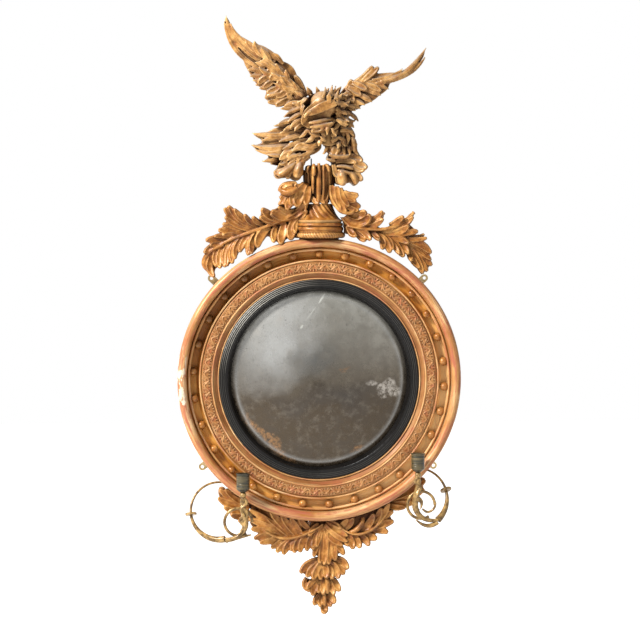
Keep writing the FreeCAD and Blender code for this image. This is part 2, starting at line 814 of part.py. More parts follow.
def apron_left_leaf():
    growth = frame_growth()
    return bowed_blade(below_rim([
        (-26, -40), (-21, 6), (-12, 40), (-10, 56), (-26, 60), (-46, 67), (-60, 66), (-66, 62), (-79, 72),
        (-91, 66), (-103, 58), (-106, 50), (-124, 50), (-141, 41), (-131, 26), (-146, 17), (-153, 2),
        (-151, -20), (-138, -60),
    ], growth), (20, 22), (-165, 14), 14, size("apron_thickness"), growth=growth)


def apron_right_leaf():
    growth = frame_growth()
    return bowed_blade(below_rim([
        (38, -40), (33, 10), (34, 34), (46, 53), (62, 60), (86, 59), (90, 51), (101, 56), (113, 45),
        (123, 40), (121, 31), (136, 32), (147, 23), (150, 14), (162, 5), (156, -8), (158, -24),
        (148, -60),
    ], growth), (0, 22), (172, 14), 14, size("apron_thickness"), growth=growth)


def apron_left_side_leaf():
    growth = frame_growth()
    return bowed_blade(below_rim([
        (-203, -73), (-217, -73), (-220, -54), (-204, -37), (-206, -25), (-191, -19), (-188, -5),
        (-178, 2), (-166, -4), (-148, -12), (-144, -50), (-152, -59), (-198, -59),
    ], growth), (-140, 18), (-225, 12), 6, size("apron_thickness"), growth=growth)


def apron_right_side_leaf():
    growth = frame_growth()
    return bowed_blade(below_rim([
        (182, -91), (212, -91), (229, -91), (235, -87), (229, -74), (230, -62), (222, -52), (205, -34),
        (187, -26), (170, -26), (148, -30), (128, -56),
    ], growth), (125, 18), (240, 12), 6, size("apron_thickness"), growth=growth)


def pendant(corners, inset=0):
    return carved_block(below_rim(corners), size("pendant_back_depth") + inset,
                        size("pendant_front_depth") - inset)


def pendant_leaf():
    return pendant([
        (-22, 4), (10, -2), (34, 4), (36, 40), (54, 71), (38, 77), (34, 92), (10, 96), (-2, 92), (-4, 80),
        (-14, 76), (-9, 60), (-16, 34),
    ])


def pendant_upper():
    return pendant([
        (-6, 86), (-28, 95), (-41, 113), (-32, 121), (-20, 124), (-8, 129), (8, 126), (24, 126),
        (38, 127), (50, 119), (53, 110), (62, 106), (60, 92), (46, 84), (24, 82),
    ])


def pendant_middle():
    return pendant([
        (-6, 120), (-16, 132), (-27, 127), (-34, 138), (-29, 148), (-19, 152), (-18, 162), (-10, 164),
        (2, 158), (22, 164), (31, 161), (34, 153), (44, 156), (48, 145), (38, 132), (28, 121),
    ], 3)


def pendant_lower():
    return pendant([
        (0, 155), (-8, 172), (-12, 183), (-2, 188), (4, 197), (11, 200), (19, 195), (26, 187), (33, 181),
        (29, 170), (21, 157),
    ], 6)


def apron_block():
    """A glue block under the carcass that the leaves and the pendant are fixed to."""
    block = box("apron_block_blank", "apron_block_width", "hinge_depth", "apron_block_drop + 40")
    block.Placement = Placement(Vector(
        10 - size("apron_block_width") / 2, -size("hinge_depth"),
        -size("rim_radius") - size("apron_block_drop")), Rotation())
    return block


# ---- the candle arms ----

def tube_through(spots, radii, rounds=3):
    """A round bar whose middle line is a smooth curve through a row of spots."""
    curve = Part.BSplineCurve()
    curve.interpolate(spots)
    marks = [curve.parameter(spot) for spot in spots]
    rings = []
    for step in range((len(spots) - 1) * rounds + 1):
        span = min(step // rounds, len(spots) - 2)
        share = step / rounds - span
        mark = marks[span] + (marks[span + 1] - marks[span]) * share
        radius = radii[span] + (radii[span + 1] - radii[span]) * share
        ahead = curve.tangent(mark)[0]
        aside = ahead.cross(Vector(0, 1, 0)).normalize()
        ring = Part.Wire(Part.Circle(Vector(), Vector(0, 0, 1), radius).toShape())
        ring.Placement = Placement(curve.value(mark), Rotation(aside, ahead.cross(aside), ahead, "ZXY"))
        rings.append(ring)
    return Part.makeLoft(rings, True)


def along(start, end, count):
    """Shares of the way from one value to another, in even steps."""
    return [start + (end - start) * step / (count - 1) for step in range(count)]


class ScrollArm:
    """The places of one arm: a scroll that runs outwards, down and forwards like a corkscrew."""

    def __init__(self, side):
        self.side = side
        self.mirror = 1 if side == "left" else -1
        growth = frame_growth()
        self.centre = Vector(size(side + "_scroll_x"), 0, size(side + "_scroll_z")) * growth
        self.radius = size(side + "_scroll_radius") * growth
        self.start = size(side + "_scroll_start")
        self.end = size(side + "_scroll_end")
        self.hinge = self.spot(self.start)
        self.cup = Vector(size(side + "_cup_x") * growth, -size("cup_depth"),
                          size(side + "_cup_top") * growth)
        self.ring = Vector(size(side + "_ring_x"), 0, size(side + "_ring_z")) * growth

    def spot(self, angle):
        """A spot of the scroll's middle line; angles open outwards from the inner side."""
        share = (angle - self.start) / (self.end - self.start)
        depth = size("hinge_depth") + (size("mouth_depth") - size("hinge_depth")) * share
        turn = math.radians(angle)
        return self.centre + Vector(
            self.mirror * self.radius * math.cos(turn), -depth, self.radius * math.sin(turn))


def hinge_eye(arm):
    base = arm.hinge - Vector(0, 0, size("arm_eye_height") / 2)
    eye = Part.makeCylinder(size("arm_eye_radius"), size("arm_eye_height"), base)
    hole = Part.makeCylinder(size("hinge_pin_radius") + size("hinge_clearance"),
                             size("arm_eye_height"), base)
    return eye, hole


def collar_angle(arm):
    return 184 if arm.side == "left" else 163


def collar_middle(arm):
    return collar_angle(arm) + math.degrees(size("collar_thickness") / 2 / arm.radius)


def arm_tube(arm):
    """The thin part of the scroll, with the eye that turns on the hinge pin."""
    angles = along(arm.start, collar_middle(arm), 8)
    radii = along(size("tube_start_radius"), size("tube_end_radius"), 8)
    tube = tube_through([arm.spot(angle) for angle in angles], radii)
    eye, hole = hinge_eye(arm)
    return eye.fuse(tube).cut(hole)


def arm_collar(arm):
    spot = arm.spot(collar_angle(arm))
    axis = arm.spot(collar_middle(arm)) - spot
    axis.normalize()
    disc = Part.makeCylinder(size("collar_radius"), size("collar_thickness"), spot, axis)
    return disc.makeFillet(size("collar_thickness") * 0.3, disc.Edges)


def arm_horn(arm):
    """The swelling part of the scroll, from the collar to the open mouth."""
    angles = along(collar_middle(arm), arm.end, 8)
    radii = along(size("tube_end_radius"), size("horn_mouth_radius"), 8)
    return tube_through([arm.spot(angle) for angle in angles], radii)


def arm_leaf(arm):
    """The long leaf tip that runs on below the mouth."""
    mouth = arm.spot(arm.end)
    ahead = mouth - arm.spot(arm.end - 4)
    ahead.normalize()
    lift = Vector(0, 0, 9 if arm.side == "left" else 1)
    length = 60 if arm.side == "left" else 70
    spots = []
    for share in along(0.02, 1, 5):
        run = ahead * (length * share)
        spots.append(mouth + Vector(run.x, run.y * 0.3, run.z * (1 - share)) + lift * (share ** 2)
                     - Vector(0, 0, 5 * (1 - share)))
    return tube_through(spots, [4.5, 5, 4.2, 3.2, 1.6])


def arm_ring(arm):
    """A curled tendril round the stem, open for part of its turn."""
    thick = size("arm_ring_thickness") / 2
    centre = arm.ring - Vector(0, size("mouth_depth") - size("horn_mouth_radius"), 0)
    face = Part.Face(Part.Wire(Part.Circle(
        centre + Vector(size("arm_ring_radius"), 0, 0), Vector(0, 0, 1), thick).toShape()))
    tilt = Rotation(Vector(0, 0, 1), arm.mirror * 5)
    ring = face.revolve(centre, Vector(0, -1, 0), 305)
    ring.rotate(centre, Vector(0, 1, 0), -60 if arm.side == "left" else 35)
    ring.rotate(centre, tilt.Axis, math.degrees(tilt.Angle))
    return ring


def arm_stem(arm):
    """The twisted leafy stem, which leaves the mouth and bends up to the knop."""
    mouth = arm.spot(arm.end)
    foot = Vector(arm.cup.x, arm.cup.y, arm.cup.z - size("cup_height") - size("knop_height"))
    low = min(arm.ring.z - size("arm_ring_radius"), mouth.z + 3)
    inside = arm.mirror * (arm.cup.x - mouth.x)
    spots = [mouth]
    for across, up in ((0.45, -2), (0.85, 6), (1.1, 22)):
        spots.append(Vector(mouth.x + arm.mirror * inside * across, arm.cup.y, low + up))
    spots += [(spots[-1] + foot) * 0.5, foot]
    radii = [3.5, 4.5, 5.5, size("arm_stem_radius"), size("arm_stem_radius") + 0.5, 4.5]
    knop_centre = foot + Vector(0, 0, size("knop_height") / 2)
    knop = Part.makeSphere(size("knop_radius"), knop_centre)
    slab = Part.makeBox(40, 40, size("knop_height"), foot - Vector(20, 20, 0))
    return tube_through(spots, radii).fuse(knop.common(slab))


def candle_cup(name):
    """Turned brass socket. Its origin is the middle of its mouth."""
    return turned(name, "XZ_Plane", [
        ("candle_bore_radius", "0"),
        ("cup_radius + 0.8", "0"),
        ("cup_radius + 0.8", "-3"),
        ("cup_radius - 0.4", "-4.2"),
        ("cup_radius", "-7"),
        ("cup_radius", "-cup_height * 0.5", "2"),
        ("cup_radius", "-cup_height * 0.5 - 2.4"),
        ("cup_radius", "-cup_height * 0.62", "2"),
        ("cup_radius", "-cup_height * 0.62 - 2.4"),
        ("cup_radius", "-cup_height * 0.82"),
        ("cup_radius * 0.62", "-cup_height + 2"),
        ("cup_radius * 0.36", "-cup_height"),
        ("0", "-cup_height"),
        ("0", "-candle_bore_depth"),
        ("candle_bore_radius", "-candle_bore_depth"),
    ])


def arm_bracket(arm):
    """Two lugs above and below the eye, on a plate that follows the carcass's side."""
    inward = Vector(-arm.hinge.x, 0, -arm.hinge.z)
    inward.normalize()
    lugs = []
    for side in (-1, 1):
        gap = size("arm_eye_height") / 2 + size("fit_clearance")
        low = arm.hinge.z + (gap if side > 0 else -gap - size("lug_thickness"))
        corner = Vector(arm.hinge.x, arm.hinge.y - size("arm_eye_radius"), low)
        if arm.side == "right":
            corner.x -= 60
        lug = Part.makeBox(60, 2 * size("arm_eye_radius"), size("lug_thickness"), corner)
        end = Part.makeCylinder(size("arm_eye_radius"), size("lug_thickness"),
                                Vector(arm.hinge.x, arm.hinge.y, low))
        lugs += [lug, end]
    thick = size("bracket_plate_thickness")
    outside = Part.makeCylinder(size("carcass_radius") + thick, size("bracket_plate_width"),
                                Vector(0, 1 - size("undercut_depth"), 0), Vector(0, 1, 0))
    inside = Part.makeCylinder(size("carcass_radius"), 60, Vector(0, -55, 0), Vector(0, 1, 0))
    middle = inward * -size("carcass_radius")
    window = Part.makeBox(70, 60, size("bracket_plate_height"),
                          Vector(middle.x - 35, -55, arm.hinge.z - size("bracket_plate_height") / 2))
    plate = outside.common(window)
    pin_hole = Part.makeCylinder(size("hinge_pin_radius"), 80, arm.hinge - Vector(0, 0, 40))
    eye_room = Part.makeCylinder(size("arm_eye_radius") + 1.5,
                                 size("arm_eye_height") + 2 * size("fit_clearance"),
                                 arm.hinge - Vector(0, 0, size("arm_eye_height") / 2 + size("fit_clearance")))
    return plate.fuse(lugs).cut(inside).cut(pin_hole).cut(eye_room)


def hinge_pin(arm):
    length = size("hinge_pin_length")
    base = arm.hinge - Vector(0, 0, length / 2)
    pin = Part.makeCylinder(size("hinge_pin_radius"), length, base)
    head = Part.makeCylinder(size("hinge_pin_radius") + 1.2, 1.6, base + Vector(0, 0, length))
    return pin.fuse(head).removeSplitter()


# ---- assembly ----

screw = countersunk_screw()
board_screw_set = board_screws(screw)
plate_screw_set = plate_screws(screw)
ball_set = balls()
dowels = crest_dowels()
wall_side = behind_wall()
frame_space = frame_clearance()

plates = {name: wall_plate(name + "_plate", angle) for name, angle in plate_angles().items()}
plate_blanks = [blank for blank, drilled in plates.values()]
node(cut_by("frame_carcass", carcass_body(),
            board_screw_set + plate_screw_set + ball_set + dowels + plate_blanks), "frame_carcass")
node(outer_rim(), "outer_rim")
node(ribbon_band(), "ribbon_band")
node(inner_moulding(), "inner_moulding")
node(ebonised_slip(), "ebonised_slip")
node(mirror_plate(), "mirror_plate")
node(group("glass_packing", packing_blocks()), "glass_packing")
board = cylinder("board_blank", "board_radius", "board_thickness", Placement(Vector(), FORWARD))
node(cut_by("backboard", board, board_screw_set), "backboard")
node(group("backboard_screws", board_screw_set), "backboard_screws")
node(group("cove_balls", ball_set), "cove_balls")
for name, (blank, drilled) in plates.items():
    node(cut_by(name + "_wall_plate", drilled, plate_screw_set), name + "_wall_plate")
node(group("wall_plate_screws", plate_screw_set), "wall_plate_screws")

base, rope, socle, column = plinth_pieces()
pin_top = "rim_radius + plinth_base_rise + socle_height + column_height - 14"
chain_pin = node(cylinder(
    "chain_pin", "chain_pin_radius", "chain_pin_height",
    Placement__Base__x="chain_pin_offset", Placement__Base__y="-plinth_axis_depth",
    Placement__Base__z=pin_top), "chain_pin")
node(cut_by("plinth_base", base, [wall_side, frame_space] + dowels), "plinth_base")
node(cut_by("plinth_rope", rope, [wall_side, frame_space]), "plinth_rope")
node(cut_by("plinth_socle", socle, [wall_side]), "plinth_socle")
node(cut_by("plinth_column", column, [wall_side, chain_pin]), "plinth_column")
node(group("crest_dowels", dowels), "crest_dowels")

plinth = [base, rope, socle, column]
head = node(eagle_skull(), "eagle_head")
breast = shaped("eagle_breast", eagle_breast())
left_wing = shaped("left_wing_carved", eagle_left_wing())
right_wing = shaped("right_wing_carved", eagle_right_wing())
left_wing = node(cut_by("eagle_left_wing", left_wing, [head]), "eagle_left_wing")
right_wing = node(cut_by("eagle_right_wing", right_wing, [head]), "eagle_right_wing")
leg_room = [column, left_wing, right_wing, head]
left_leg = node(cut_by("eagle_left_leg", shaped("left_leg_carved", eagle_left_leg()), leg_room),
                "eagle_left_leg")
right_leg = node(cut_by("eagle_right_leg", shaped("right_leg_carved", eagle_right_leg()), leg_room),
                 "eagle_right_leg")
tail = node(cut_by("eagle_tail", shaped("tail_carved", eagle_tail()),
                   [left_leg, right_leg, left_wing, head]), "eagle_tail")
node(cut_by("eagle_body", breast, [head, left_wing, right_wing, left_leg, right_leg, tail]),
     "eagle_body")

left_bracket = node(cut_by("left_bracket_leaf", shaped("left_bracket_carved", left_bracket_leaf()),
                           plinth + [left_leg]), "left_bracket_leaf")
right_bracket = node(cut_by("right_bracket_leaf", shaped("right_bracket_carved", right_bracket_leaf()),
                            plinth + [right_leg]), "right_bracket_leaf")
node(cut_by("left_spray", shaped("left_spray_carved", left_spray()),
            plinth + [left_bracket, frame_space]), "left_spray")
node(cut_by("right_spray", shaped("right_spray_carved", right_spray()),
            plinth + [right_bracket, frame_space]), "right_spray")

block = apron_block()
main_leaf = shaped("pendant_leaf_carved", pendant_leaf())
node(cut_by("apron_block", block, [frame_space]), "apron_block")
node(cut_by("pendant_leaf", main_leaf, [frame_space, block]), "pendant_leaf")
apron_leaves = {
    "left": (apron_left_leaf(), apron_left_side_leaf()),
    "right": (apron_right_leaf(), apron_right_side_leaf()),
}
for side, (leaf, side_leaf) in apron_leaves.items():
    name = f"apron_{side}_leaf"
    leaf = shaped(name + "_carved", leaf)
    leaf = node(cut_by(name, leaf, [frame_space, block, main_leaf]), name)
    name = f"apron_{side}_side_leaf"
    node(cut_by(name, shaped(name + "_carved", side_leaf), [frame_space, leaf]), name)
above = main_leaf
for name, tier in (("upper", pendant_upper()), ("middle", pendant_middle()), ("lower", pendant_lower())):
    tier = shaped(f"pendant_{name}_carved", tier)
    node(cut_by(f"pendant_{name}", tier, [above]), f"pendant_{name}")
    above = tier

for side in ("left", "right"):
    arm = ScrollArm(side)
    node(shaped(side + "_arm_bracket", arm_bracket(arm)), side + "_arm_bracket")
    node(shaped(side + "_hinge_pin", hinge_pin(arm)), side + "_hinge_pin")
    tube = shaped(side + "_arm_tube_bent", arm_tube(arm))
    collar = node(shaped(side + "_arm_collar", arm_collar(arm)), side + "_arm_collar")
    node(cut_by(side + "_arm_tube", tube, [collar]), side + "_arm_tube")
    horn = shaped(side + "_arm_horn_bent", arm_horn(arm))
    horn = node(cut_by(side + "_arm_horn", horn, [collar]), side + "_arm_horn")
    stem = shaped(side + "_arm_stem_bent", arm_stem(arm))
    stem = node(cut_by(side + "_arm_stem", stem, [horn]), side + "_arm_stem")
    ring = shaped(side + "_arm_ring_bent", arm_ring(arm))
    ring = node(cut_by(side + "_arm_ring", ring, [stem, horn]), side + "_arm_ring")
    leaf = shaped(side + "_arm_leaf_bent", arm_leaf(arm))
    node(cut_by(side + "_arm_leaf", leaf, [stem, horn, ring]), side + "_arm_leaf")
    cup = node(candle_cup(side + "_candle_cup"), side + "_candle_cup")
    cup.Placement = Placement(arm.cup, Rotation())

# ---- checks and writing ----

document.recompute()
failed = [item.Label for item in document.Objects if {"Invalid", "Error"} & set(item.State)]
failed += [item.Label for item in NODES if item.Shape.isNull() or not item.Shape.isValid()]
if failed:
    raise RuntimeError("these did not compute: " + ", ".join(failed))
os.makedirs("parts", exist_ok=True)
for item in NODES:
    shape = item.Shape
    print(f"{item.Label}: {len(shape.Solids)} solids, {shape.Volume / 1000:.1f} cm3")
    shape.exportStep(f"parts/{item.Label}.step")
print(len(NODES), "sub-parts")
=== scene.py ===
import json
import math
import random

import bpy
import numpy as np
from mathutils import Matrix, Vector
from mathutils.bvhtree import BVHTree


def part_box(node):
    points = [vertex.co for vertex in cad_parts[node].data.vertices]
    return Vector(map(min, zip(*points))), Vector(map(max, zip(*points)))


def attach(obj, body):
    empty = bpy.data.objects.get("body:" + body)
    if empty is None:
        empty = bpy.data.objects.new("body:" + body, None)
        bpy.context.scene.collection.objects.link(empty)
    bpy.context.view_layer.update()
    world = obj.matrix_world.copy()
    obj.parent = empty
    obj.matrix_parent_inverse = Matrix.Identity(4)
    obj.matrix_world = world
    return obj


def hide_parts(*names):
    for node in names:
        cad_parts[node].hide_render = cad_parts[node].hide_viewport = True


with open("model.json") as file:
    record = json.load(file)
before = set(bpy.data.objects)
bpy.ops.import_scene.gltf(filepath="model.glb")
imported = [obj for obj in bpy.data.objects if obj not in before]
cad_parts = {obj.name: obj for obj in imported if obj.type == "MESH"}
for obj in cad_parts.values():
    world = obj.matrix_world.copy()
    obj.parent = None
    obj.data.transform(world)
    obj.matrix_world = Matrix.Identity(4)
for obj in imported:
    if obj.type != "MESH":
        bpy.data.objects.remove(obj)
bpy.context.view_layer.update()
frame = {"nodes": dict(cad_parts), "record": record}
mm = 0.001
print("frame loaded")


def deselectAll():
    if bpy.context.object and bpy.context.object.mode != "OBJECT":
        bpy.ops.object.mode_set(mode="OBJECT")
    bpy.ops.object.select_all(action="DESELECT")


def pick(*pieces):
    deselectAll()
    for piece in pieces:
        piece.select_set(True)
    bpy.context.view_layer.objects.active = pieces[-1]  # the last one is active


def applyModifier(piece, kind, **settings):
    pick(piece)
    modifier = piece.modifiers.new(kind.title(), kind)
    for key, value in settings.items():
        setattr(modifier, key, value)
    bpy.ops.object.modifier_apply(modifier=modifier.name)


def joined(pieces, name):
    pick(*pieces)
    if len(pieces) > 1:
        bpy.ops.object.join()
    piece = bpy.context.object
    piece.name = name
    piece.data.name = name
    bpy.ops.object.transform_apply(location=True, rotation=True, scale=True)
    return piece


def copyOf(piece):
    twin = piece.copy()
    twin.data = piece.data.copy()
    bpy.context.scene.collection.objects.link(twin)
    return twin


def meshPoints(mesh):
    spots = np.empty(len(mesh.vertices) * 3)
    mesh.vertices.foreach_get("co", spots)
    return spots.reshape(-1, 3)


def setMeshPoints(mesh, spots):
    mesh.vertices.foreach_set("co", np.asarray(spots, dtype=float).ravel())
    mesh.update()


# the CAD node that a carved piece is named after: leftSpray stands for left_spray
def nodeOf(name):
    return "".join("_" + letter.lower() if letter.isupper() else letter for letter in name)


def place(piece, slot, *nodes):
    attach(piece, "mirror")
    if nodes:
        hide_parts(*nodes)


# spots on a smooth curve through the points, at shares of its length
def curveThrough(points, shares):
    points = np.asarray(points, dtype=float)
    if len(points) == 2:
        return points[0] + np.outer(shares, points[1] - points[0])
    steps = np.linalg.norm(np.diff(points, axis=0), axis=1)
    marks = np.concatenate([[0], np.cumsum(steps)]) / steps.sum()
    slopes = np.gradient(points, marks, axis=0, edge_order=2)
    span = np.clip(np.searchsorted(marks, shares, side="right") - 1, 0, len(points) - 2)
    width = (marks[span + 1] - marks[span])[:, None]
    part = ((shares - marks[span]) / width[:, 0])[:, None]
    return ((2 * part ** 3 - 3 * part ** 2 + 1) * points[span]
            + (part ** 3 - 2 * part ** 2 + part) * width * slopes[span]
            + (3 * part ** 2 - 2 * part ** 3) * points[span + 1]
            + (part ** 3 - part ** 2) * width * slopes[span + 1])


# how a cut of the carver's gouge is shaped: crown is its roundness (hollow below 0), ridge a raised
# midrib, root its width where it starts, sharp how pointed it ends, thick and curl are in mm
strokeKinds = {
    "finger": dict(crown=-0.30, ridge=0.0, root=0.6, widest=0.6, sharp=1.1, thick=5.5, curl=3.0),
    "gutter": dict(crown=-0.46, ridge=0.1, root=0.5, widest=0.62, sharp=1.0, thick=5.5, curl=4.0),
    "feather": dict(crown=0.16, ridge=0.2, root=0.6, widest=0.66, sharp=1.4, thick=4.5, curl=2.0),
    "tuft": dict(crown=0.25, ridge=0.22, root=0.75, widest=0.5, sharp=1.5, thick=5.0, curl=3.5),
    "roll": dict(crown=0.9, ridge=0.0, root=0.6, widest=0.5, sharp=0.8, thick=7.0, curl=1.0),
    "plate": dict(crown=0.04, ridge=0.0, root=0.75, widest=0.4, sharp=0.9, thick=8.0, curl=-2.0),
    "coil": dict(crown=1.0, ridge=0.0, root=1.0, widest=0.6, sharp=0.4, thick=5.0, curl=0.0),
    "toe": dict(crown=1.0, ridge=0.0, root=0.7, widest=0.55, sharp=0.55, thick=9.0, curl=0.0),
}
# the flat sheet that every stroke is bent from: its faces across and along, the share of its width left at
# the very tip, how far a stroke may twist in degrees, its ripple (waver, waves), and where it starts to curl
sheet = dict(across=10, along=24, tip=0.06, twist=15, near=0.02, ridgeWidth=0.16, waver=0.05, waves=9,
             curlFrom=0.55, curlRun=0.45)

deselectAll()
bpy.ops.mesh.primitive_grid_add(x_subdivisions=sheet["across"], y_subdivisions=sheet["along"], size=2)
blank = bpy.context.object
blank.name = "bladeBlank"


# bends the blank along a path and gives it the section of its kind
def shapeStroke(mesh, spots, width, kind, roll, draw, facing):
    flat = meshPoints(mesh)
    u, t = flat[:, 0], (flat[:, 1] + 1) / 2
    near = sheet["near"]
    centre = curveThrough(spots, t)
    ahead = curveThrough(spots, np.clip(t + near, 0, 1)) - curveThrough(spots, np.clip(t - near, 0, 1))
    ahead /= np.linalg.norm(ahead, axis=1)[:, None]
    front = np.array(facing, dtype=float)
    out = front - ahead * (ahead @ front)[:, None]
    out /= np.linalg.norm(out, axis=1)[:, None]
    side = np.cross(ahead, out)
    turn = np.radians(roll)
    side, out = side * np.cos(turn) + out * np.sin(turn), out * np.cos(turn) - side * np.sin(turn)
    rise = np.clip(t / kind["widest"], 0, 1)
    fall = np.clip((t - kind["widest"]) / (1 - kind["widest"]), 0, 1)
    half = kind["root"] + (1 - kind["root"]) * np.sin(rise * np.pi / 2)
    taper = np.clip(1 - fall ** (2 / kind["sharp"]), 0, 1) ** (0.5 * kind["sharp"])
    half *= taper * (1 - sheet["tip"]) + sheet["tip"]
    half *= width / 2
    waver = sheet["waver"] * np.sin(t * sheet["waves"] + draw.random() * 6)
    ridge = kind["ridge"] * np.exp(-(u / sheet["ridgeWidth"]) ** 2)
    height = half * (kind["crown"] * (1 - u ** 2) + ridge + waver * u)
    height += kind["curl"] * mm * np.clip((t - sheet["curlFrom"]) / sheet["curlRun"], 0, 1) ** 2
    setMeshPoints(mesh, centre + side * (half * u)[:, None] + out * height[:, None])


# a stroke laid along spots in metres, as a thin solid blade
def bladeAlong(spots, width, kind, roll, draw, facing=(0, -1, 0), thick=None):
    blade = copyOf(blank)
    shape = strokeKinds[kind]
    roll += draw.uniform(-sheet["twist"], sheet["twist"])
    shapeStroke(blade.data, spots, width * mm, shape, roll, draw, facing)
    solid = blade.modifiers.new("Solidify", "SOLIDIFY")
    solid.thickness = (thick or shape["thick"]) * mm
    solid.offset = -1
    return blade


# rows of overlapping tufts, each row: start, end, count, direction at each end, length, width and lift.
# drift is in mm, sway, bend and roll in degrees, and the parts are shares of a tuft's length
tufts = dict(drift=2, sway=14, bend=25, roll=14, stretch=(0.8, 1.2), swell=(0.85, 1.15), firstPart=0.55,
             lastPart=0.45)


def tuftRows(rows, seed=3):
    draw = random.Random(seed)
    strokes = []
    for start, end, count, firstWay, lastWay, length, width, lift in rows:
        for number in range(count):
            share = number / max(1, count - 1)
            x = start[0] + (end[0] - start[0]) * share + draw.uniform(-tufts["drift"], tufts["drift"])
            z = start[1] + (end[1] - start[1]) * share + draw.uniform(-tufts["drift"], tufts["drift"])
            way = firstWay + (lastWay - firstWay) * share + draw.uniform(-tufts["sway"], tufts["sway"])
            way = math.radians(way)
            run = length * draw.uniform(*tufts["stretch"])
            first, last = run * tufts["firstPart"], run * tufts["lastPart"]
            middle = (x + first * math.cos(way), z + first * math.sin(way), lift + 1.5)
            bend = way + math.radians(draw.uniform(-tufts["bend"], tufts["bend"]))
            tip = (middle[0] + last * math.cos(bend), middle[1] + last * math.sin(bend), lift)
            strokes.append(([(x, z, lift - 1), middle, tip], width * draw.uniform(*tufts["swell"]), "tuft",
                            draw.uniform(-tufts["roll"], tufts["roll"])))
    return strokes


# a node's surface and its middle, to lay strokes on
def surfaceOf(node):
    low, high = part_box(node)
    tree = BVHTree.FromObject(frame["nodes"][node], bpy.context.evaluated_depsgraph_get())
    return tree, (Vector(low) + Vector(high)) / 2


# the spot in front of the solid at x and z, or at the nearest place inside it; all in mm
def spotOn(surface, x, z, lift, tries=14, stride=0.05):
    tree, centre = surface
    x, z = x * mm, z * mm
    depth = centre.y
    for number in range(tries):
        share = number * stride
        start = Vector((x + (centre.x - x) * share, -1, z + (centre.z - z) * share))
        hit = tree.ray_cast(start, Vector((0, 1, 0)))[0]
        if hit:
            depth = hit.y
            break
    return (x, depth - lift * mm, z)


# one smooth skin over the blades, and over the core if there is one
def skinned(name, blades, voxel, core=(), soften=0.5, rounds=2):
    pick(*blades)
    bpy.ops.object.convert(target="MESH")
    piece = joined([*blades, *core], name)
    applyModifier(piece, "REMESH", mode="VOXEL", voxel_size=voxel * mm)
    applyModifier(piece, "SMOOTH", factor=soften, iterations=rounds)
    bpy.ops.object.shade_smooth()
    return piece


# the inner wood of a carving: the node's own solid, a little smaller all round
wood = dict(voxel=2.2, soften=0.7, rounds=6)


def coreOf(node, shrink):
    core = copyOf(frame["nodes"][node])
    pick(core)
    bpy.ops.object.mode_set(mode="EDIT")
    bpy.ops.mesh.select_all(action="SELECT")
    bpy.ops.mesh.remove_doubles(threshold=1e-5)
    bpy.ops.mesh.normals_make_consistent(inside=False)
    bpy.ops.object.mode_set(mode="OBJECT")
    applyModifier(core, "REMESH", mode="VOXEL", voxel_size=wood["voxel"] * mm)
    applyModifier(core, "SMOOTH", factor=wood["soften"], iterations=wood["rounds"])
    applyModifier(core, "DISPLACE", strength=-shrink * mm, mid_level=0.0)
    return core


# a stroke is its points, (x, z) or (x, z, lift), its width, its kind and its roll in degrees; lengths in mm.
# loose is how much the strokes' lifts differ; what stands out past the limit is drawn into the room there,
# so that it stays inside the CAD's own box
cutting = dict(lift=1.5, loose=2.4, seed=1, limit=-104, room=12.0)


def wholeStroke(points, width, kind="finger", roll=0):
    return [(*point, 0)[:3] for point in points], width, kind, roll


# a carved piece: the node's solid dressed with strokes, and with placed blades that are joined as they are
def carve(name, node, strokes, shrink=2.6, voxel=1.25, lift=cutting["lift"], rise=0, placed=()):
    draw = random.Random(cutting["seed"])
    surface = surfaceOf(node)
    core = coreOf(node, shrink)
    blades = list(placed)
    for points, width, kind, roll in (wholeStroke(*stroke) for stroke in strokes):
        upturn = rise if kind in ("finger", "gutter") else 0
        loose = draw.uniform(0, cutting["loose"])
        spots = [spotOn(surface, x, z, lift + (more + (loose + upturn * number / (len(points) - 1))))
                 for number, (x, z, more) in enumerate(points)]
        blades.append(bladeAlong(spots, width, kind, roll, draw))
    piece = skinned(name, blades, voxel, core=[core])
    spots = meshPoints(piece.data)
    room = cutting["room"] * mm
    over = np.maximum(0, cutting["limit"] * mm - spots[:, 1])
    spots[:, 1] += over - room * np.tanh(over / room)
    setMeshPoints(piece.data, spots)
    return piece


# strokes laid on a node of an arm, without a core
leafwork = dict(thick=3.5, voxel=0.8, seed=6)


def wrap(name, body, node, strokes):
    draw = random.Random(leafwork["seed"])
    surface = surfaceOf(node)
    blades = []
    for points, width, kind in strokes:
        spots = [spotOn(surface, x, z, cutting["lift"]) for x, z in points]
        blades.append(bladeAlong(spots, width, kind, 0, draw, thick=leafwork["thick"]))
    piece = skinned(name, blades, leafwork["voxel"])
    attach(piece, body)
    return piece



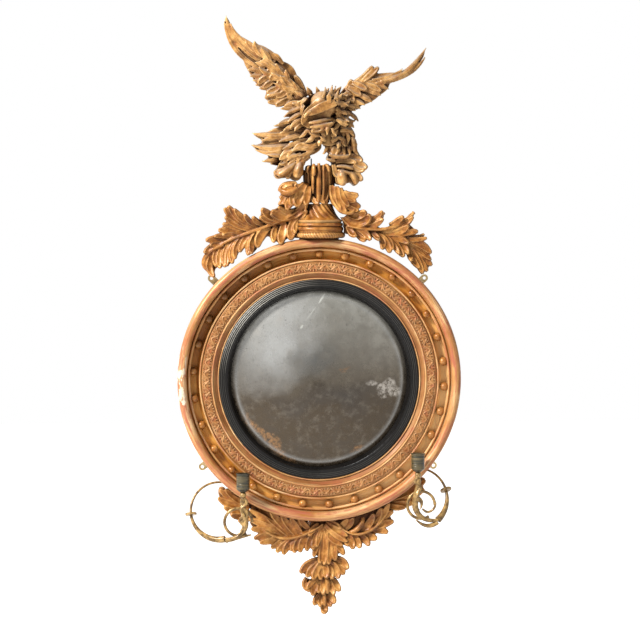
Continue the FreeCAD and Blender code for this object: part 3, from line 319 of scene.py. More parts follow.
# sprays beside the plinth, each with its upper half, its rib and fold, and its lower half
sprays = {
    "leftSpray": [
        ([(-40, 372), (-66, 360), (-88, 371)], 10), ([(-42, 364), (-72, 354), (-102, 363)], 13),
        ([(-58, 350), (-44, 362, 1), (-31, 379)], 17), ([(-50, 345), (-40, 352), (-30, 362)], 14),
        ([(-50, 356), (-78, 347), (-104, 357)], 9), ([(-66, 349, 1), (-98, 350), (-123, 367)], 17),
        ([(-78, 342), (-106, 342), (-127, 350)], 10), ([(-118, 335), (-132, 337), (-142, 349)], 10),
        ([(-130, 331), (-148, 339), (-160, 354)], 10), ([(-128, 329), (-162, 345), (-182, 366)], 12),
        ([(-132, 327), (-168, 344), (-194, 373)], 13), ([(-138, 325), (-172, 340), (-203, 368)], 13),
        ([(-145, 322), (-178, 333), (-201, 350)], 11), ([(-150, 321), (-180, 327), (-206, 335)], 10),
        ([(-152, 318), (-185, 320), (-215, 322)], 13), ([(-165, 314), (-190, 313), (-206, 312)], 9),
        ([(-172, 309), (-200, 309), (-224, 309)], 9), ([(-180, 305), (-212, 303), (-242, 300)], 14),
        ([(-198, 296), (-218, 293), (-233, 290)], 10), ([(-200, 292), (-228, 286), (-246, 274)], 11),
        ([(-24, 382, 3), (-65, 351, 4), (-100, 335, 4), (-150, 317, 4), (-200, 297, 4), (-240, 272, 3)],
         9, "roll", 25),
        ([(-205, 290, 3), (-236, 274, 4), (-247, 250, 2), (-230, 229)], 13, "roll"),
        ([(-212, 285), (-230, 264), (-235, 242), (-226, 223)], 13),
        ([(-46, 352), (-58, 328), (-62, 303)], 19), ([(-40, 345), (-50, 332), (-52, 318)], 11),
        ([(-76, 338), (-80, 315), (-84, 294)], 16), ([(-92, 332), (-97, 315), (-98, 298)], 11),
        ([(-104, 329), (-122, 315), (-133, 287)], 17), ([(-124, 324), (-141, 302), (-146, 273)], 13),
        ([(-138, 319), (-151, 298), (-153, 270)], 10), ([(-150, 314), (-163, 298), (-171, 277)], 11),
        ([(-160, 310), (-176, 290), (-181, 262)], 11), ([(-168, 307), (-184, 285), (-187, 252)], 11),
        ([(-178, 303), (-193, 280), (-198, 246)], 10), ([(-190, 299), (-203, 275), (-203, 244)], 9),
        ([(-202, 293), (-214, 270), (-213, 242)], 11), ([(-212, 287), (-223, 268), (-221, 246)], 10),
    ],
    "rightSpray": [
        ([(52, 350), (72, 337), (98, 343), (106, 354)], 17, "gutter"),
        ([(60, 358), (80, 352), (97, 361)], 15, "gutter"),
        ([(70, 336), (105, 338), (125, 350), (133, 362)], 11),
        ([(72, 331, 1), (110, 335, 2), (130, 348, 2), (140, 361)], 8, "roll"),
        ([(92, 330), (120, 333), (135, 345)], 10), ([(150, 331), (165, 338), (178, 350)], 11),
        ([(60, 331, 2), (100, 324, 3), (145, 325, 3), (180, 338, 2), (206, 361)], 9, "roll"),
        ([(135, 321), (165, 326), (188, 338), (200, 350)], 11), ([(140, 318), (170, 318), (190, 331)], 14),
        ([(130, 317), (170, 316), (211, 319)], 14), ([(165, 310), (200, 308), (229, 312)], 7, "roll"),
        ([(155, 308), (200, 301), (231, 304)], 9), ([(175, 302), (215, 293), (240, 272)], 15),
        ([(180, 299), (215, 280), (240, 258)], 13), ([(180, 296), (215, 270), (242, 246)], 14),
        ([(185, 293), (213, 262), (232, 234)], 14), ([(188, 289), (208, 262), (222, 229)], 13),
        ([(190, 285), (200, 262), (215, 241)], 11), ([(186, 284), (195, 268), (197, 258)], 10),
        ([(150, 309), (165, 290), (180, 266)], 14), ([(165, 303), (180, 290), (190, 272)], 11),
        ([(148, 306), (161, 288), (170, 272)], 9), ([(120, 315), (140, 300), (150, 275)], 14),
        ([(126, 309), (136, 298), (134, 283)], 11), ([(135, 313), (152, 297), (157, 282)], 9),
        ([(70, 331), (92, 320), (108, 302)], 13), ([(75, 323), (88, 310), (96, 300)], 13),
        ([(60, 331), (68, 318), (76, 310)], 12), ([(108, 319), (119, 312), (127, 302)], 10),
        ([(150, 311), (172, 303), (190, 294)], 12),
    ],
}

# leaves at the foot of the column
bracketLeaves = {
    "leftBracketLeaf": [
        ([(-30, 421), (-42, 400), (-48, 374)], 19, "gutter"), ([(-22, 416), (-26, 395), (-30, 377)], 13),
        ([(-45, 420), (-55, 400), (-60, 376)], 14), ([(-50, 412), (-62, 395), (-76, 378)], 12),
        ([(-52, 408), (-68, 393), (-87, 377)], 11), ([(-48, 398), (-62, 384), (-70, 367)], 14),
        ([(-48, 412, 3), (-66, 403, 5), (-85, 408, 2)], 17, "roll"),
        ([(-50, 419), (-70, 417), (-86, 406)], 12), ([(-52, 403), (-68, 397), (-84, 391)], 9),
        ([(-58, 418, 3), (-72, 414, 4), (-84, 404, 2)], 11, "tuft"),
    ],
    "rightBracketLeaf": [
        ([(26, 418), (30, 395), (45, 366)], 12), ([(36, 416), (40, 390), (56, 361)], 12),
        ([(45, 413), (50, 392), (62, 374)], 11),
        ([(30, 384, 2), (48, 361, 3), (70, 360, 3), (76, 374)], 9, "roll"),
        ([(50, 403), (64, 394), (81, 397)], 15), ([(48, 388), (66, 379), (86, 372)], 13),
        ([(50, 376), (66, 368), (82, 364)], 10), ([(52, 395), (66, 386), (76, 384)], 10),
    ],
}

# the eagle: wings, tail, body, legs and head
eagle = {
    "eagleLeftWing": [
        ([(-105, 662), (-145, 677), (-178, 707), (-196, 742), (-203, 768)], 12, "feather"),
        ([(-100, 672), (-140, 692), (-172, 722), (-191, 752), (-199, 780)], 13, "feather"),
        ([(-95, 678), (-130, 698), (-160, 722), (-182, 746), (-189, 763)], 11, "feather"),
        ([(-92, 684), (-125, 702), (-148, 718), (-166, 734)], 12, "feather"),
        ([(-92, 686), (-120, 700), (-145, 708), (-157, 722)], 9, "feather"),
        ([(-90, 690), (-112, 704), (-128, 712), (-139, 718)], 12, "feather"),
        ([(-84, 686), (-100, 696), (-112, 703), (-121, 706)], 10, "feather"),
        ([(-78, 675, 2), (-90, 690, 2), (-99, 699)], 12, "feather"),
        ([(-100, 656), (-130, 664), (-154, 663)], 13, "feather"),
        ([(-105, 649), (-128, 652), (-149, 650)], 12, "feather"),
        ([(-106, 643), (-125, 642), (-143, 641)], 10, "feather"),
        ([(-106, 637), (-122, 634), (-137, 631)], 10, "feather"),
        ([(-98, 628), (-115, 625), (-129, 624)], 10, "feather"), ([(-30, 606), (-40, 626), (-52, 650)], 13),
        ([(-78, 660, 1), (-95, 670, 3), (-118, 672)], 11),
        ([(-88, 662, 3), (-104, 661, 5), (-113, 652, 2)], 9, "gutter"),
        ([(-84, 654, 3), (-97, 650, 6), (-104, 641, 2)], 10, "gutter"),
        ([(-106, 650, 3), (-118, 644, 6), (-129, 635, 2)], 10, "gutter"),
        ([(-74, 650, 3), (-82, 640, 6), (-88, 630, 2)], 10, "gutter"),
        ([(-98, 641, 3), (-108, 633, 6), (-118, 627, 2)], 10, "gutter"),
        ([(-62, 645, 3), (-68, 634, 6), (-76, 625, 2)], 9, "gutter"),
        ([(-84, 629, 3), (-96, 621, 6), (-110, 616, 2)], 11, "gutter"),
        ([(-66, 624, 3), (-76, 613, 6), (-90, 607, 2)], 11, "gutter"),
        ([(-54, 630, 2), (-60, 618, 5), (-66, 607, 2)], 9, "gutter"),
        ([(-80, 612, 1), (-98, 611, 2), (-115, 606)], 15, "roll"),
        ([(-74, 602, 1), (-90, 597, 2), (-108, 596)], 11), ([(-62, 604, 2), (-78, 594, 3), (-92, 588)], 12),
        ([(-48, 606, 2), (-58, 594, 3), (-72, 586)], 12), ([(-38, 596), (-50, 584), (-62, 574)], 12),
    ] + tuftRows([
        ((-30, 604), (-128, 702), 10, 118, 134, 32, 15, 3),
        ((-34, 596), (-112, 672), 8, 138, 142, 28, 14, 4),
        ((-48, 598), (-100, 654), 5, 165, 160, 26, 12, 3),
    ], seed=11),
    "eagleRightWing": [
        ([(42, 602), (62, 628), (90, 643), (118, 648), (170, 655)], 14, "finger", 15),
        ([(70, 634, 2), (92, 646, 3), (104, 658, 2), (112, 670)], 11),
        ([(92, 640, 3), (106, 652, 3), (124, 668)], 10), ([(58, 618), (64, 630), (67, 640)], 10),
        ([(112, 642), (140, 646), (165, 656), (177, 666)], 10, "feather"),
        ([(125, 636), (165, 648), (196, 670), (222, 703)], 11, "feather"),
        ([(120, 634), (170, 646), (204, 666), (227, 692)], 11, "feather"),
        ([(130, 640, 2), (175, 655, 3), (206, 682, 2), (229, 712)], 9, "feather"),
        ([(140, 640, 3), (172, 652, 4), (192, 668)], 8, "feather"),
        ([(160, 648, 3), (190, 662, 4), (208, 682)], 8, "feather"),
        ([(85, 634), (122, 631), (148, 622)], 12, "feather"),
        ([(80, 627), (108, 619), (131, 609)], 13, "feather"),
        ([(72, 617), (94, 606), (112, 595)], 13, "feather"),
        ([(66, 607), (82, 597), (97, 589)], 12, "feather"),
        ([(60, 599), (73, 589), (87, 581)], 11, "feather"),
        ([(54, 592), (66, 582), (77, 577)], 10, "feather"),
        ([(68, 636, 2), (84, 630, 5), (98, 622, 2)], 11, "gutter"),
        ([(60, 626, 2), (74, 619, 5), (86, 610, 2)], 11, "gutter"),
        ([(54, 616, 2), (64, 608, 5), (72, 598, 2)], 11, "gutter"),
        ([(50, 612, 3), (55, 602, 4), (60, 590, 2)], 10, "roll"),
        ([(96, 634, 2), (112, 628, 4), (128, 620, 1)], 10, "gutter"),
    ],
    "eagleTail": [
        ([(-14, 528), (-66, 524), (-105, 523), (-144, 529)], 14, "feather"),
        ([(-20, 529, 1), (-46, 520, 2), (-72, 512, 1)], 14, "tuft"),
        ([(-52, 552), (-74, 548), (-98, 544)], 12, "tuft"),
        ([(-50, 515), (-95, 517), (-126, 513)], 10, "feather"),
        ([(-14, 512), (-66, 502), (-110, 498), (-146, 504)], 14, "feather"),
        ([(-30, 500), (-78, 493), (-112, 488), (-138, 494)], 13, "feather"),
        ([(-40, 490), (-75, 482), (-112, 482)], 11, "feather"),
        ([(-28, 484), (-66, 478), (-100, 471), (-124, 469)], 12, "feather"),
        ([(-44, 476), (-78, 466), (-104, 463)], 10, "feather"),
        ([(-8, 536, 2), (-46, 524, 3), (-88, 510, 1)], 12, "feather"),
        ([(-8, 524, 2), (-40, 512, 3), (-74, 501, 1)], 11, "feather"),
        ([(-6, 514, 2), (-34, 501, 3), (-62, 492, 1)], 11, "feather"),
        ([(-8, 504, 2), (-30, 492, 3), (-50, 481, 1)], 10, "feather"),
        ([(-18, 538, 1), (-52, 534, 2), (-84, 530)], 12, "feather"),
        ([(-20, 492), (-34, 482), (-44, 473)], 9, "feather"),
    ],
    "eagleBody": tuftRows([
        ((-34, 606), (48, 606), 6, 150, 30, 20, 12, 0), ((-36, 592), (60, 590), 7, 185, -15, 24, 12, 1),
        ((-36, 578), (62, 574), 8, 195, -40, 24, 12, 1), ((-36, 563), (62, 558), 8, 200, -50, 24, 12, 1),
        ((-34, 549), (60, 544), 8, 210, -55, 22, 12, 2), ((-26, 536), (56, 532), 7, 225, -62, 22, 11, 2),
        ((-14, 524), (48, 520), 6, 240, -70, 20, 11, 2), ((0, 514), (38, 510), 4, 255, -80, 16, 11, 1),
    ]) + [
        ([(-26, 590), (-58, 592, 2), (-76, 586)], 12, "feather"),
        ([(-28, 578), (-60, 582), (-84, 580)], 12, "feather"),
        ([(-28, 568), (-56, 570), (-77, 563)], 12, "feather"),
        ([(-30, 557), (-62, 556), (-90, 546)], 13, "feather"),
        ([(-30, 546), (-56, 543), (-78, 534)], 12, "feather"),
        ([(-30, 584, 3), (-52, 578, 6), (-72, 568, 3)], 10, "feather"),
        ([(-30, 572, 3), (-50, 566, 6), (-68, 552, 3)], 10, "feather"),
        ([(-34, 560, 3), (-50, 552, 5), (-64, 538, 3)], 10, "feather"),
    ],
    "eagleLeftLeg": [
        ([(-52, 466, 1), (-70, 450, 3), (-91, 439, 2)], 20, "roll"),
        ([(-42, 466, 1), (-46, 450, 3), (-51, 433, 2)], 23, "roll"),
        ([(-60, 456, 2), (-66, 445, 3), (-68, 434)], 12), ([(-40, 470), (-40, 455), (-40, 440)], 10),
        ([(-70, 456, 2), (-82, 448, 4), (-96, 446)], 12),
    ] + tuftRows([
        ((2, 512), (-52, 506), 5, 195, 200, 30, 12, 3), ((-4, 502), (-60, 492), 5, 200, 205, 28, 12, 4),
        ((-10, 492), (-66, 480), 5, 205, 210, 26, 11, 4), ((-20, 482), (-68, 470), 4, 215, 215, 24, 11, 3),
        ((-32, 472), (-66, 460), 4, 230, 230, 20, 10, 2),
    ], seed=7),
    "eagleRightLeg": [
        ([(16, 514), (19, 500), (24, 486)], 11), ([(28, 518, 1), (30, 502, 3), (32, 486)], 13, "gutter"),
        ([(44, 520, 1), (45, 503, 3), (44, 486)], 14, "gutter"), ([(56, 520), (56, 503), (58, 484)], 11),
        ([(68, 520, 1), (73, 503, 3), (74, 488)], 13, "roll"), ([(40, 548), (48, 536), (62, 524)], 14),
        ([(56, 546), (62, 534), (72, 520)], 12), ([(20, 483, 1), (42, 478, 3), (64, 481, 1)], 12, "roll"),
        ([(14, 474, 1), (24, 471, 2), (34, 470)], 9, "roll"), ([(62, 482), (78, 477), (89, 470)], 13),
        ([(34, 468), (56, 470), (78, 466)], 11), ([(36, 458, 2), (54, 457, 4), (72, 452, 1)], 10, "roll"),
        ([(38, 450, 2), (54, 446, 4), (68, 442, 1)], 9, "roll"),
        ([(46, 448, 2), (48, 434, 4), (47, 417, 1)], 24, "roll"),
        ([(62, 444, 1), (74, 434, 2), (77, 419)], 16, "roll"), ([(70, 446), (82, 438), (89, 430)], 13),
        ([(74, 470), (86, 462), (99, 456)], 15), ([(72, 460), (82, 452), (94, 452)], 11),
        ([(30, 462), (33, 448), (38, 436)], 10),
    ] + tuftRows([
        ((24, 540), (62, 540), 4, 250, 290, 22, 11, 2), ((18, 522), (70, 520), 5, 250, 295, 22, 11, 3),
        ((16, 504), (74, 502), 6, 245, 300, 20, 11, 2),
    ], seed=9),
}
eagleHead = [
    ([(32, 593, 2), (8, 585, 5), (-14, 575, 4), (-31, 568, 1)], 20, "plate", -26),
    ([(-20, 573, 2), (-30, 567, 1), (-35, 559, -1)], 8, "toe"),
    ([(19, 591, 4), (17, 601, 5), (19, 612, 2)], 11, "tuft"),
    ([(28, 560, 0), (2, 553, 1), (-26, 549, -1)], 11, "roll"),
    ([(26, 550, 0), (0, 543, 0), (-24, 540)], 10, "roll"), ([(20, 541), (0, 536), (-18, 532)], 9),
    ([(4, 602), (9, 613), (10, 624)], 8, "tuft"), ([(14, 604), (22, 616), (25, 629)], 9, "tuft"),
    ([(22, 604), (29, 616), (32, 627)], 7, "tuft"), ([(30, 600), (35, 610), (38, 619)], 8, "tuft"),
    ([(34, 598), (42, 606), (46, 612)], 9, "tuft"),
] + tuftRows([
    ((34, 598), (36, 560), 5, 10, -50, 22, 11, 1), ((42, 588), (44, 556), 4, 0, -50, 20, 10, 0),
    ((6, 544), (24, 540), 3, 240, 280, 16, 9, 1),
], seed=5)

# tufts on the sides of the head: ways round from the front and heights above its middle in degrees, how
# far out each spot of a tuft lies as a share of the head, and its length and width
headSides = dict(ways=(-118, -94, -70, 72, 96, 120), heights=(-38, -14, 12, 38), reach=(0.84, 0.90, 0.90),
                 length=24, width=13, seed=9)

# leaves and pendants under the frame
apron = {
    "apronLeftLeaf": [
        ([(-70, -342), (-112, -337), (-140, -344)], 13), ([(-75, -340), (-115, -327), (-146, -323)], 13),
        ([(-70, -340), (-112, -318), (-152, -302)], 13), ([(-65, -340), (-105, -310), (-149, -282)], 13),
        ([(-60, -340), (-95, -308), (-130, -276)], 15), ([(-55, -340), (-82, -310), (-105, -285)], 14),
        ([(-48, -338), (-68, -312), (-82, -290)], 12), ([(-38, -335), (-52, -315), (-62, -298)], 11),
        ([(-20, -326), (-34, -312), (-44, -300)], 11),
        ([(8, -312, 2), (-30, -334, 4), (-62, -343, 4), (-100, -337, 3), (-128, -318)], 8, "roll", -25),
        ([(-50, -344), (-90, -346), (-128, -352)], 14), ([(-45, -343), (-80, -350), (-103, -363)], 12),
        ([(-40, -342), (-68, -352), (-92, -371)], 12), ([(-34, -339), (-58, -350), (-77, -376)], 15),
        ([(-28, -337), (-50, -348), (-62, -368)], 10), ([(-20, -332), (-42, -346), (-54, -372)], 13),
        ([(-12, -328), (-32, -344), (-42, -371)], 13), ([(-6, -323), (-18, -344), (-27, -368)], 12),
        ([(-2, -320), (-8, -344), (-14, -366)], 12), ([(4, -316), (0, -340), (-6, -360)], 10),
    ],
    "apronRightLeaf": [
        ([(60, -333, 1), (86, -319, 4), (95, -296, 2)], 13, "roll"),
        ([(50, -327), (66, -314), (72, -299)], 11), ([(75, -334), (105, -315), (116, -291)], 15),
        ([(95, -331), (120, -308), (133, -279)], 14), ([(110, -323), (135, -300), (151, -268)], 13),
        ([(40, -319), (53, -312), (60, -301)], 10),
        ([(48, -322, 2), (72, -334, 4), (102, -331, 4), (127, -315, 3), (145, -286)], 7, "roll", 25),
        ([(112, -326), (138, -314), (160, -309)], 14), ([(105, -330), (130, -327), (147, -332)], 14),
        ([(90, -335), (108, -340), (122, -345)], 15), ([(80, -336), (98, -346), (106, -358)], 13),
        ([(70, -336), (80, -347), (87, -362)], 13), ([(60, -333), (68, -347), (72, -364)], 13),
        ([(50, -327), (56, -342), (62, -358)], 11), ([(132, -302), (146, -296), (158, -288)], 11),
    ],
    "pendantLeaf": [
        ([(10, -312), (8, -355), (1, -396)], 10, "gutter"), ([(8, -316), (-3, -350), (-12, -382)], 11),
        ([(12, -320), (22, -356), (20, -399)], 12), ([(16, -322), (36, -350), (53, -378)], 14),
        ([(12, -318), (14, -360), (10, -400)], 11), ([(14, -320), (30, -360), (34, -391)], 13),
        ([(12, -314, 2), (30, -334, 3), (60, -350, 1)], 10, "finger"),
        ([(12, -318), (24, -342), (50, -358)], 10), ([(14, -310, 2), (38, -324, 3), (60, -338, 1)], 10),
        ([(14, -308), (30, -312), (46, -322)], 11), ([(4, -318), (-6, -340), (-14, -362)], 11),
        ([(0, -312), (-12, -322), (-22, -336)], 11),
    ],
    "pendantUpper": [
        ([(5, -391), (-22, -401), (-40, -417)], 15), ([(5, -394), (-12, -408), (-27, -425)], 13),
        ([(6, -395), (-4, -412), (-13, -431)], 13), ([(8, -396), (4, -415), (3, -431)], 11),
        ([(10, -396, 2), (14, -414, 3), (14, -428)], 13), ([(14, -396), (24, -412), (27, -430)], 11),
        ([(18, -394), (34, -408), (40, -429)], 14), ([(20, -392), (44, -402), (52, -421)], 14),
        ([(22, -390), (48, -395), (61, -409)], 15),
    ],
    "pendantMiddle": [
        ([(-26, -431), (-31, -444), (-22, -457)], 9), ([(4, -428), (-8, -445), (-14, -466)], 14),
        ([(0, -426), (-14, -438), (-26, -452)], 9), ([(6, -428), (2, -448), (-2, -460)], 10),
        ([(10, -426), (8, -445), (8, -464)], 11), ([(14, -426, 2), (18, -448, 3), (17, -466)], 13, "roll"),
        ([(18, -428), (26, -448), (31, -465)], 11), ([(20, -427), (34, -441), (43, -457)], 14),
    ],
    "pendantLower": [
        ([(8, -461), (-2, -474), (-10, -487)], 13), ([(9, -461), (4, -478), (2, -491)], 10),
        ([(11, -461, 2), (12, -480, 3), (12, -494)], 11, "roll"),
        ([(14, -461), (20, -478), (24, -491)], 11), ([(15, -461), (26, -473), (32, -484)], 13),
        ([(6, -488), (10, -496), (11, -505)], 14),
    ],
    "apronLeftSideLeaf": [
        ([(-150, -266), (-185, -258), (-214, -238)], 15), ([(-150, -274), (-185, -272), (-217, -256)], 15),
        ([(-150, -284), (-180, -286), (-204, -275)], 14), ([(-150, -292), (-172, -297), (-189, -291)], 14),
        ([(-146, -296), (-160, -302), (-172, -305)], 11),
        ([(-146, -278, -2), (-176, -258, -2), (-202, -238, -2)], 15),
    ],
    "apronRightSideLeaf": [
        ([(135, -262), (185, -248), (230, -220)], 15), ([(140, -268), (190, -260), (228, -240)], 14),
        ([(140, -272), (180, -271), (207, -267)], 13), ([(135, -272), (160, -277), (186, -278)], 12),
    ],
}

# leaves wrapped round the arms' stems: body, node and strokes
stemLeaves = {
    "leftStemLeaves": ("left_arm", "left_arm_stem", [
        ([(-163, -249), (-158, -257), (-166, -268)], 8, "tuft"),
        ([(-156, -260), (-169, -272), (-160, -288)], 9, "tuft"),
        ([(-171, -268), (-158, -282), (-167, -299)], 9, "tuft"),
        ([(-156, -283), (-170, -297), (-160, -313)], 9, "tuft"),
        ([(-171, -298), (-160, -311), (-167, -326)], 8, "tuft"),
        ([(-157, -306), (-168, -318), (-176, -328)], 8, "tuft"),
    ]),
    "rightStemLeaves": ("right_arm", "right_arm_stem", [
        ([(212, -203), (204, -214), (212, -228)], 8, "tuft"),
        ([(204, -214), (214, -229), (206, -244)], 8, "tuft"),
        ([(213, -231), (206, -246), (214, -261)], 8, "tuft"),
        ([(206, -247), (217, -262), (213, -277)], 8, "tuft"),
    ]),
    "rightCoilEnd": ("right_arm", "right_arm_ring", [
        ([(247, -262), (244, -276), (232, -283), (219, -275)], 6, "coil"),
    ]),
}


def carveAll(pieces, slot, **settings):
    for name, strokes in pieces.items():
        node = nodeOf(name)
        place(carve(name, node, strokes, **settings), slot, node)


carveAll(sprays, "gilt_leaf", shrink=2.0, rise=13)
carveAll(bracketLeaves, "gilt_leaf", rise=4)
print("leaves of the crest")
carveAll(eagle, "gilt_eagle", voxel=1.15)
low, high = (np.array(corner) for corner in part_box("eagle_head"))
middle, halves = (low + high) / 2, (high - low) / 2
draw = random.Random(headSides["seed"])
sideTufts = []
for way in headSides["ways"]:
    for height in headSides["heights"]:
        spots = []
        for number, reach in enumerate(headSides["reach"]):
            turn = math.radians(way + draw.uniform(-5, 5))
            drop = number * headSides["length"] * tufts["firstPart"]
            rise = math.radians(height + draw.uniform(-4, 4) - drop)
            out = (math.sin(turn) * math.cos(rise), -math.cos(turn) * math.cos(rise), math.sin(rise))
            spots.append(tuple(middle + halves * np.array(out) * reach))
        facing = (math.sin(math.radians(way)), -math.cos(math.radians(way)), 0.2)
        sideTufts.append(bladeAlong(spots, headSides["width"], "tuft", draw.uniform(-12, 12), draw, facing))
carveAll({"eagleHead": eagleHead}, "gilt_eagle", shrink=5.0, voxel=1.15, placed=sideTufts)
print("eagle")
carveAll(apron, "gilt_leaf", rise=7)
print("apron")
stemPieces = [wrap(name, *leaves) for name, leaves in stemLeaves.items()]
print("leaves on the arms")

# the plinth, turned about one upright axis: the cleft column with rolls round its back, the gadrooned socle
# and the rope. Angles are in degrees from the front, heights and radii in mm
plinth = dict(axisDepth=36.0, columnFoot=378.0, columnTop=463.0, footRadius=25.0, topRadius=33.0, flare=1.8,
              sideRolls=15, sideRollWidth=9.5, sideAngles=(66, 294), sideTop=450, sideFoot=386, sideLift=2.5)
socle = dict(outline=[(0, 337), (48, 337), (50, 343), (41.5, 348.5), (35.2, 358), (30.5, 368), (28, 378),
                      (0, 378)],
             gadroons=17, depth=2.5, middle=0.55, sweep=2.3, steps=272, rows=30, innerRadius=20, fade=6,
             smoothBelow=50)
rope = dict(circle=50.2, height=311.0, radius=6.0, strands=54, twist=1.35, depth=1.3, middle=0.6, along=432,
            around=16)


def columnSpot(angle, z, lift):
    share = (z - plinth["columnFoot"]) / (plinth["columnTop"] - plinth["columnFoot"])
    swell = plinth["topRadius"] - plinth["footRadius"]
    radius = plinth["footRadius"] + swell * max(0.0, share) ** plinth["flare"]
    reach = radius + lift
    return (reach * math.sin(angle) * mm, -(plinth["axisDepth"] + reach * math.cos(angle)) * mm, z * mm)


def columnSides():
    draw = random.Random(12)
    first, last = plinth["sideAngles"]
    blades = []
    for number in range(plinth["sideRolls"]):
        angle = math.radians(first + (last - first) * number / (plinth["sideRolls"] - 1))
        top = plinth["sideTop"] + draw.uniform(-6, 8)
        foot = plinth["sideFoot"] + draw.uniform(-2, 10)
        spots = [columnSpot(angle, z, plinth["sideLift"]) for z in (top, (top + foot) / 2, foot)]
        width = plinth["sideRollWidth"] * draw.uniform(0.85, 1.15)
        facing = (math.sin(angle), -math.cos(angle), 0)
        blades.append(bladeAlong(spots, width, "roll", draw.uniform(-10, 10), draw, facing))
    return blades


columnFront = [
    ([(-31, 450), (-29, 428), (-28, 404)], 8, "roll"),
    ([(-25, 455, 1), (-23, 425, 1), (-22, 386)], 8, "roll"),
    ([(-13, 462, 4), (-13, 452, 4), (-13, 438, 3)], 11, "toe"),
    ([(-14, 446, 1), (-14, 425, 2), (-14, 398)], 9, "roll"),
    ([(-2, 465, 1), (-2, 420, 3), (-3, 380)], 12, "roll", -10),
    ([(8, 462, 2), (8, 420, 2), (7, 384)], 8, "roll"),
    ([(16, 458), (15, 420, -1), (13, 384)], 11, "gutter"),
    ([(25, 456, 1), (24, 425, 1), (21, 392)], 9, "roll"), ([(32, 448), (30, 425), (26, 394)], 9, "roll"),
    ([(-27, 446, 3), (-26, 452, 4), (-22, 460, 2)], 9, "toe"),
    ([(13, 462, 1), (17, 458, 3), (20, 446, 1)], 9, "toe"), ([(0, 398, 2), (4, 386, 3), (10, 380, 2)], 8),
    ([(-18, 396, 1), (-12, 386, 3), (-4, 379, 2)], 9), ([(18, 396, 1), (14, 386, 3), (16, 379, 1)], 8),
]
column = carve("clovenColumn", "plinth_column", columnFront, shrink=2.2, lift=2.0, placed=columnSides())
place(column, "gilt_plinth", "plinth_column")


# spins an outline of (radius, height) round the upright axis
def lathe(name, outline, steps):
    deselectAll()
    bpy.ops.mesh.primitive_plane_add(size=0.001, location=(0, 0, 0))
    turning = bpy.context.object
    bpy.ops.object.mode_set(mode="EDIT")
    bpy.ops.mesh.select_all(action="SELECT")
    bpy.ops.mesh.merge(type="CENTER")
    bpy.ops.transform.translate(value=(outline[0][0] * mm, 0, outline[0][1] * mm))
    for (radius, height), (nextRadius, nextHeight) in zip(outline, outline[1:]):
        step = ((nextRadius - radius) * mm, 0, (nextHeight - height) * mm)
        bpy.ops.mesh.extrude_region_move(TRANSFORM_OT_translate={"value": step})
    bpy.ops.mesh.select_all(action="SELECT")
    bpy.ops.mesh.spin(steps=steps, angle=2 * math.pi, center=(0, 0, 0), axis=(0, 0, 1), use_auto_merge=True)
    bpy.ops.mesh.select_all(action="SELECT")
    bpy.ops.mesh.remove_doubles(threshold=1e-6)
    bpy.ops.mesh.normals_make_consistent(inside=False)
    bpy.ops.object.mode_set(mode="OBJECT")
    turning.name = name
    return turning


# puts a turned piece in front of the wall, at its height, and cuts off what lies behind the wall
def setAtWall(piece, spots, height=0):
    spots[:, 1] -= plinth["axisDepth"] * mm
    spots[:, 2] += height * mm
    setMeshPoints(piece.data, spots)
    pick(piece)
    bpy.ops.object.mode_set(mode="EDIT")
    bpy.ops.mesh.select_all(action="SELECT")
    bpy.ops.mesh.bisect(plane_co=(0, 0, 0), plane_no=(0, 1, 0), use_fill=True, clear_outer=True)
    bpy.ops.mesh.select_all(action="SELECT")
    bpy.ops.mesh.normals_make_consistent(inside=False)
    bpy.ops.object.mode_set(mode="OBJECT")


corners = np.array(socle["outline"], dtype=float)
bell = curveThrough(corners[2:7], np.linspace(0, 1, socle["rows"]))
turned = lathe("gadroonedSocle", [tuple(spot) for spot in (*corners[:2], *bell, corners[7])], socle["steps"])
spots = meshPoints(turned.data)
reach = np.hypot(spots[:, 0], spots[:, 1])
angle = np.arctan2(spots[:, 0], -spots[:, 1])
climb = (spots[:, 2] / mm - corners[2][1]) / (corners[6][1] - corners[2][1])
wave = np.abs(np.sin(angle * socle["gadroons"] / 2 + socle["sweep"] * climb * math.pi))
fadeUp = np.clip(climb * socle["fade"], 0, 1)
fadeOut = np.clip((reach / mm - socle["innerRadius"]) / socle["fade"], 0, 1)
swell = socle["depth"] * mm * (wave - socle["middle"]) * fadeUp * fadeOut
spots[:, :2] *= (1 + swell / np.maximum(reach, mm))[:, None]
setAtWall(turned, spots)
bpy.ops.object.shade_smooth_by_angle(angle=math.radians(socle["smoothBelow"]))
place(turned, "gilt_plinth", "plinth_socle")

deselectAll()
bpy.ops.mesh.primitive_torus_add(major_segments=rope["along"], minor_segments=rope["around"],
                                 major_radius=rope["circle"] * mm, minor_radius=rope["radius"] * mm)
cable = bpy.context.object
cable.name = "carvedRope"
spots = meshPoints(cable.data)
angle = np.arctan2(spots[:, 0], -spots[:, 1])
ring = np.stack([np.sin(angle), -np.cos(angle), np.zeros(len(angle))], axis=1) * rope["circle"] * mm
out = spots - ring
lean = np.arctan2(out[:, 2], (out * ring).sum(axis=1) / (rope["circle"] * mm))
strand = np.abs(np.sin(angle * rope["strands"] / 2 + lean * rope["twist"]))
spots = ring + out * (1 + rope["depth"] / rope["radius"] * (strand - rope["middle"]))[:, None]
setAtWall(cable, spots, rope["height"])
bpy.ops.object.shade_smooth()
place(cable, "gilt_plinth", "plinth_rope")
print("plinth")

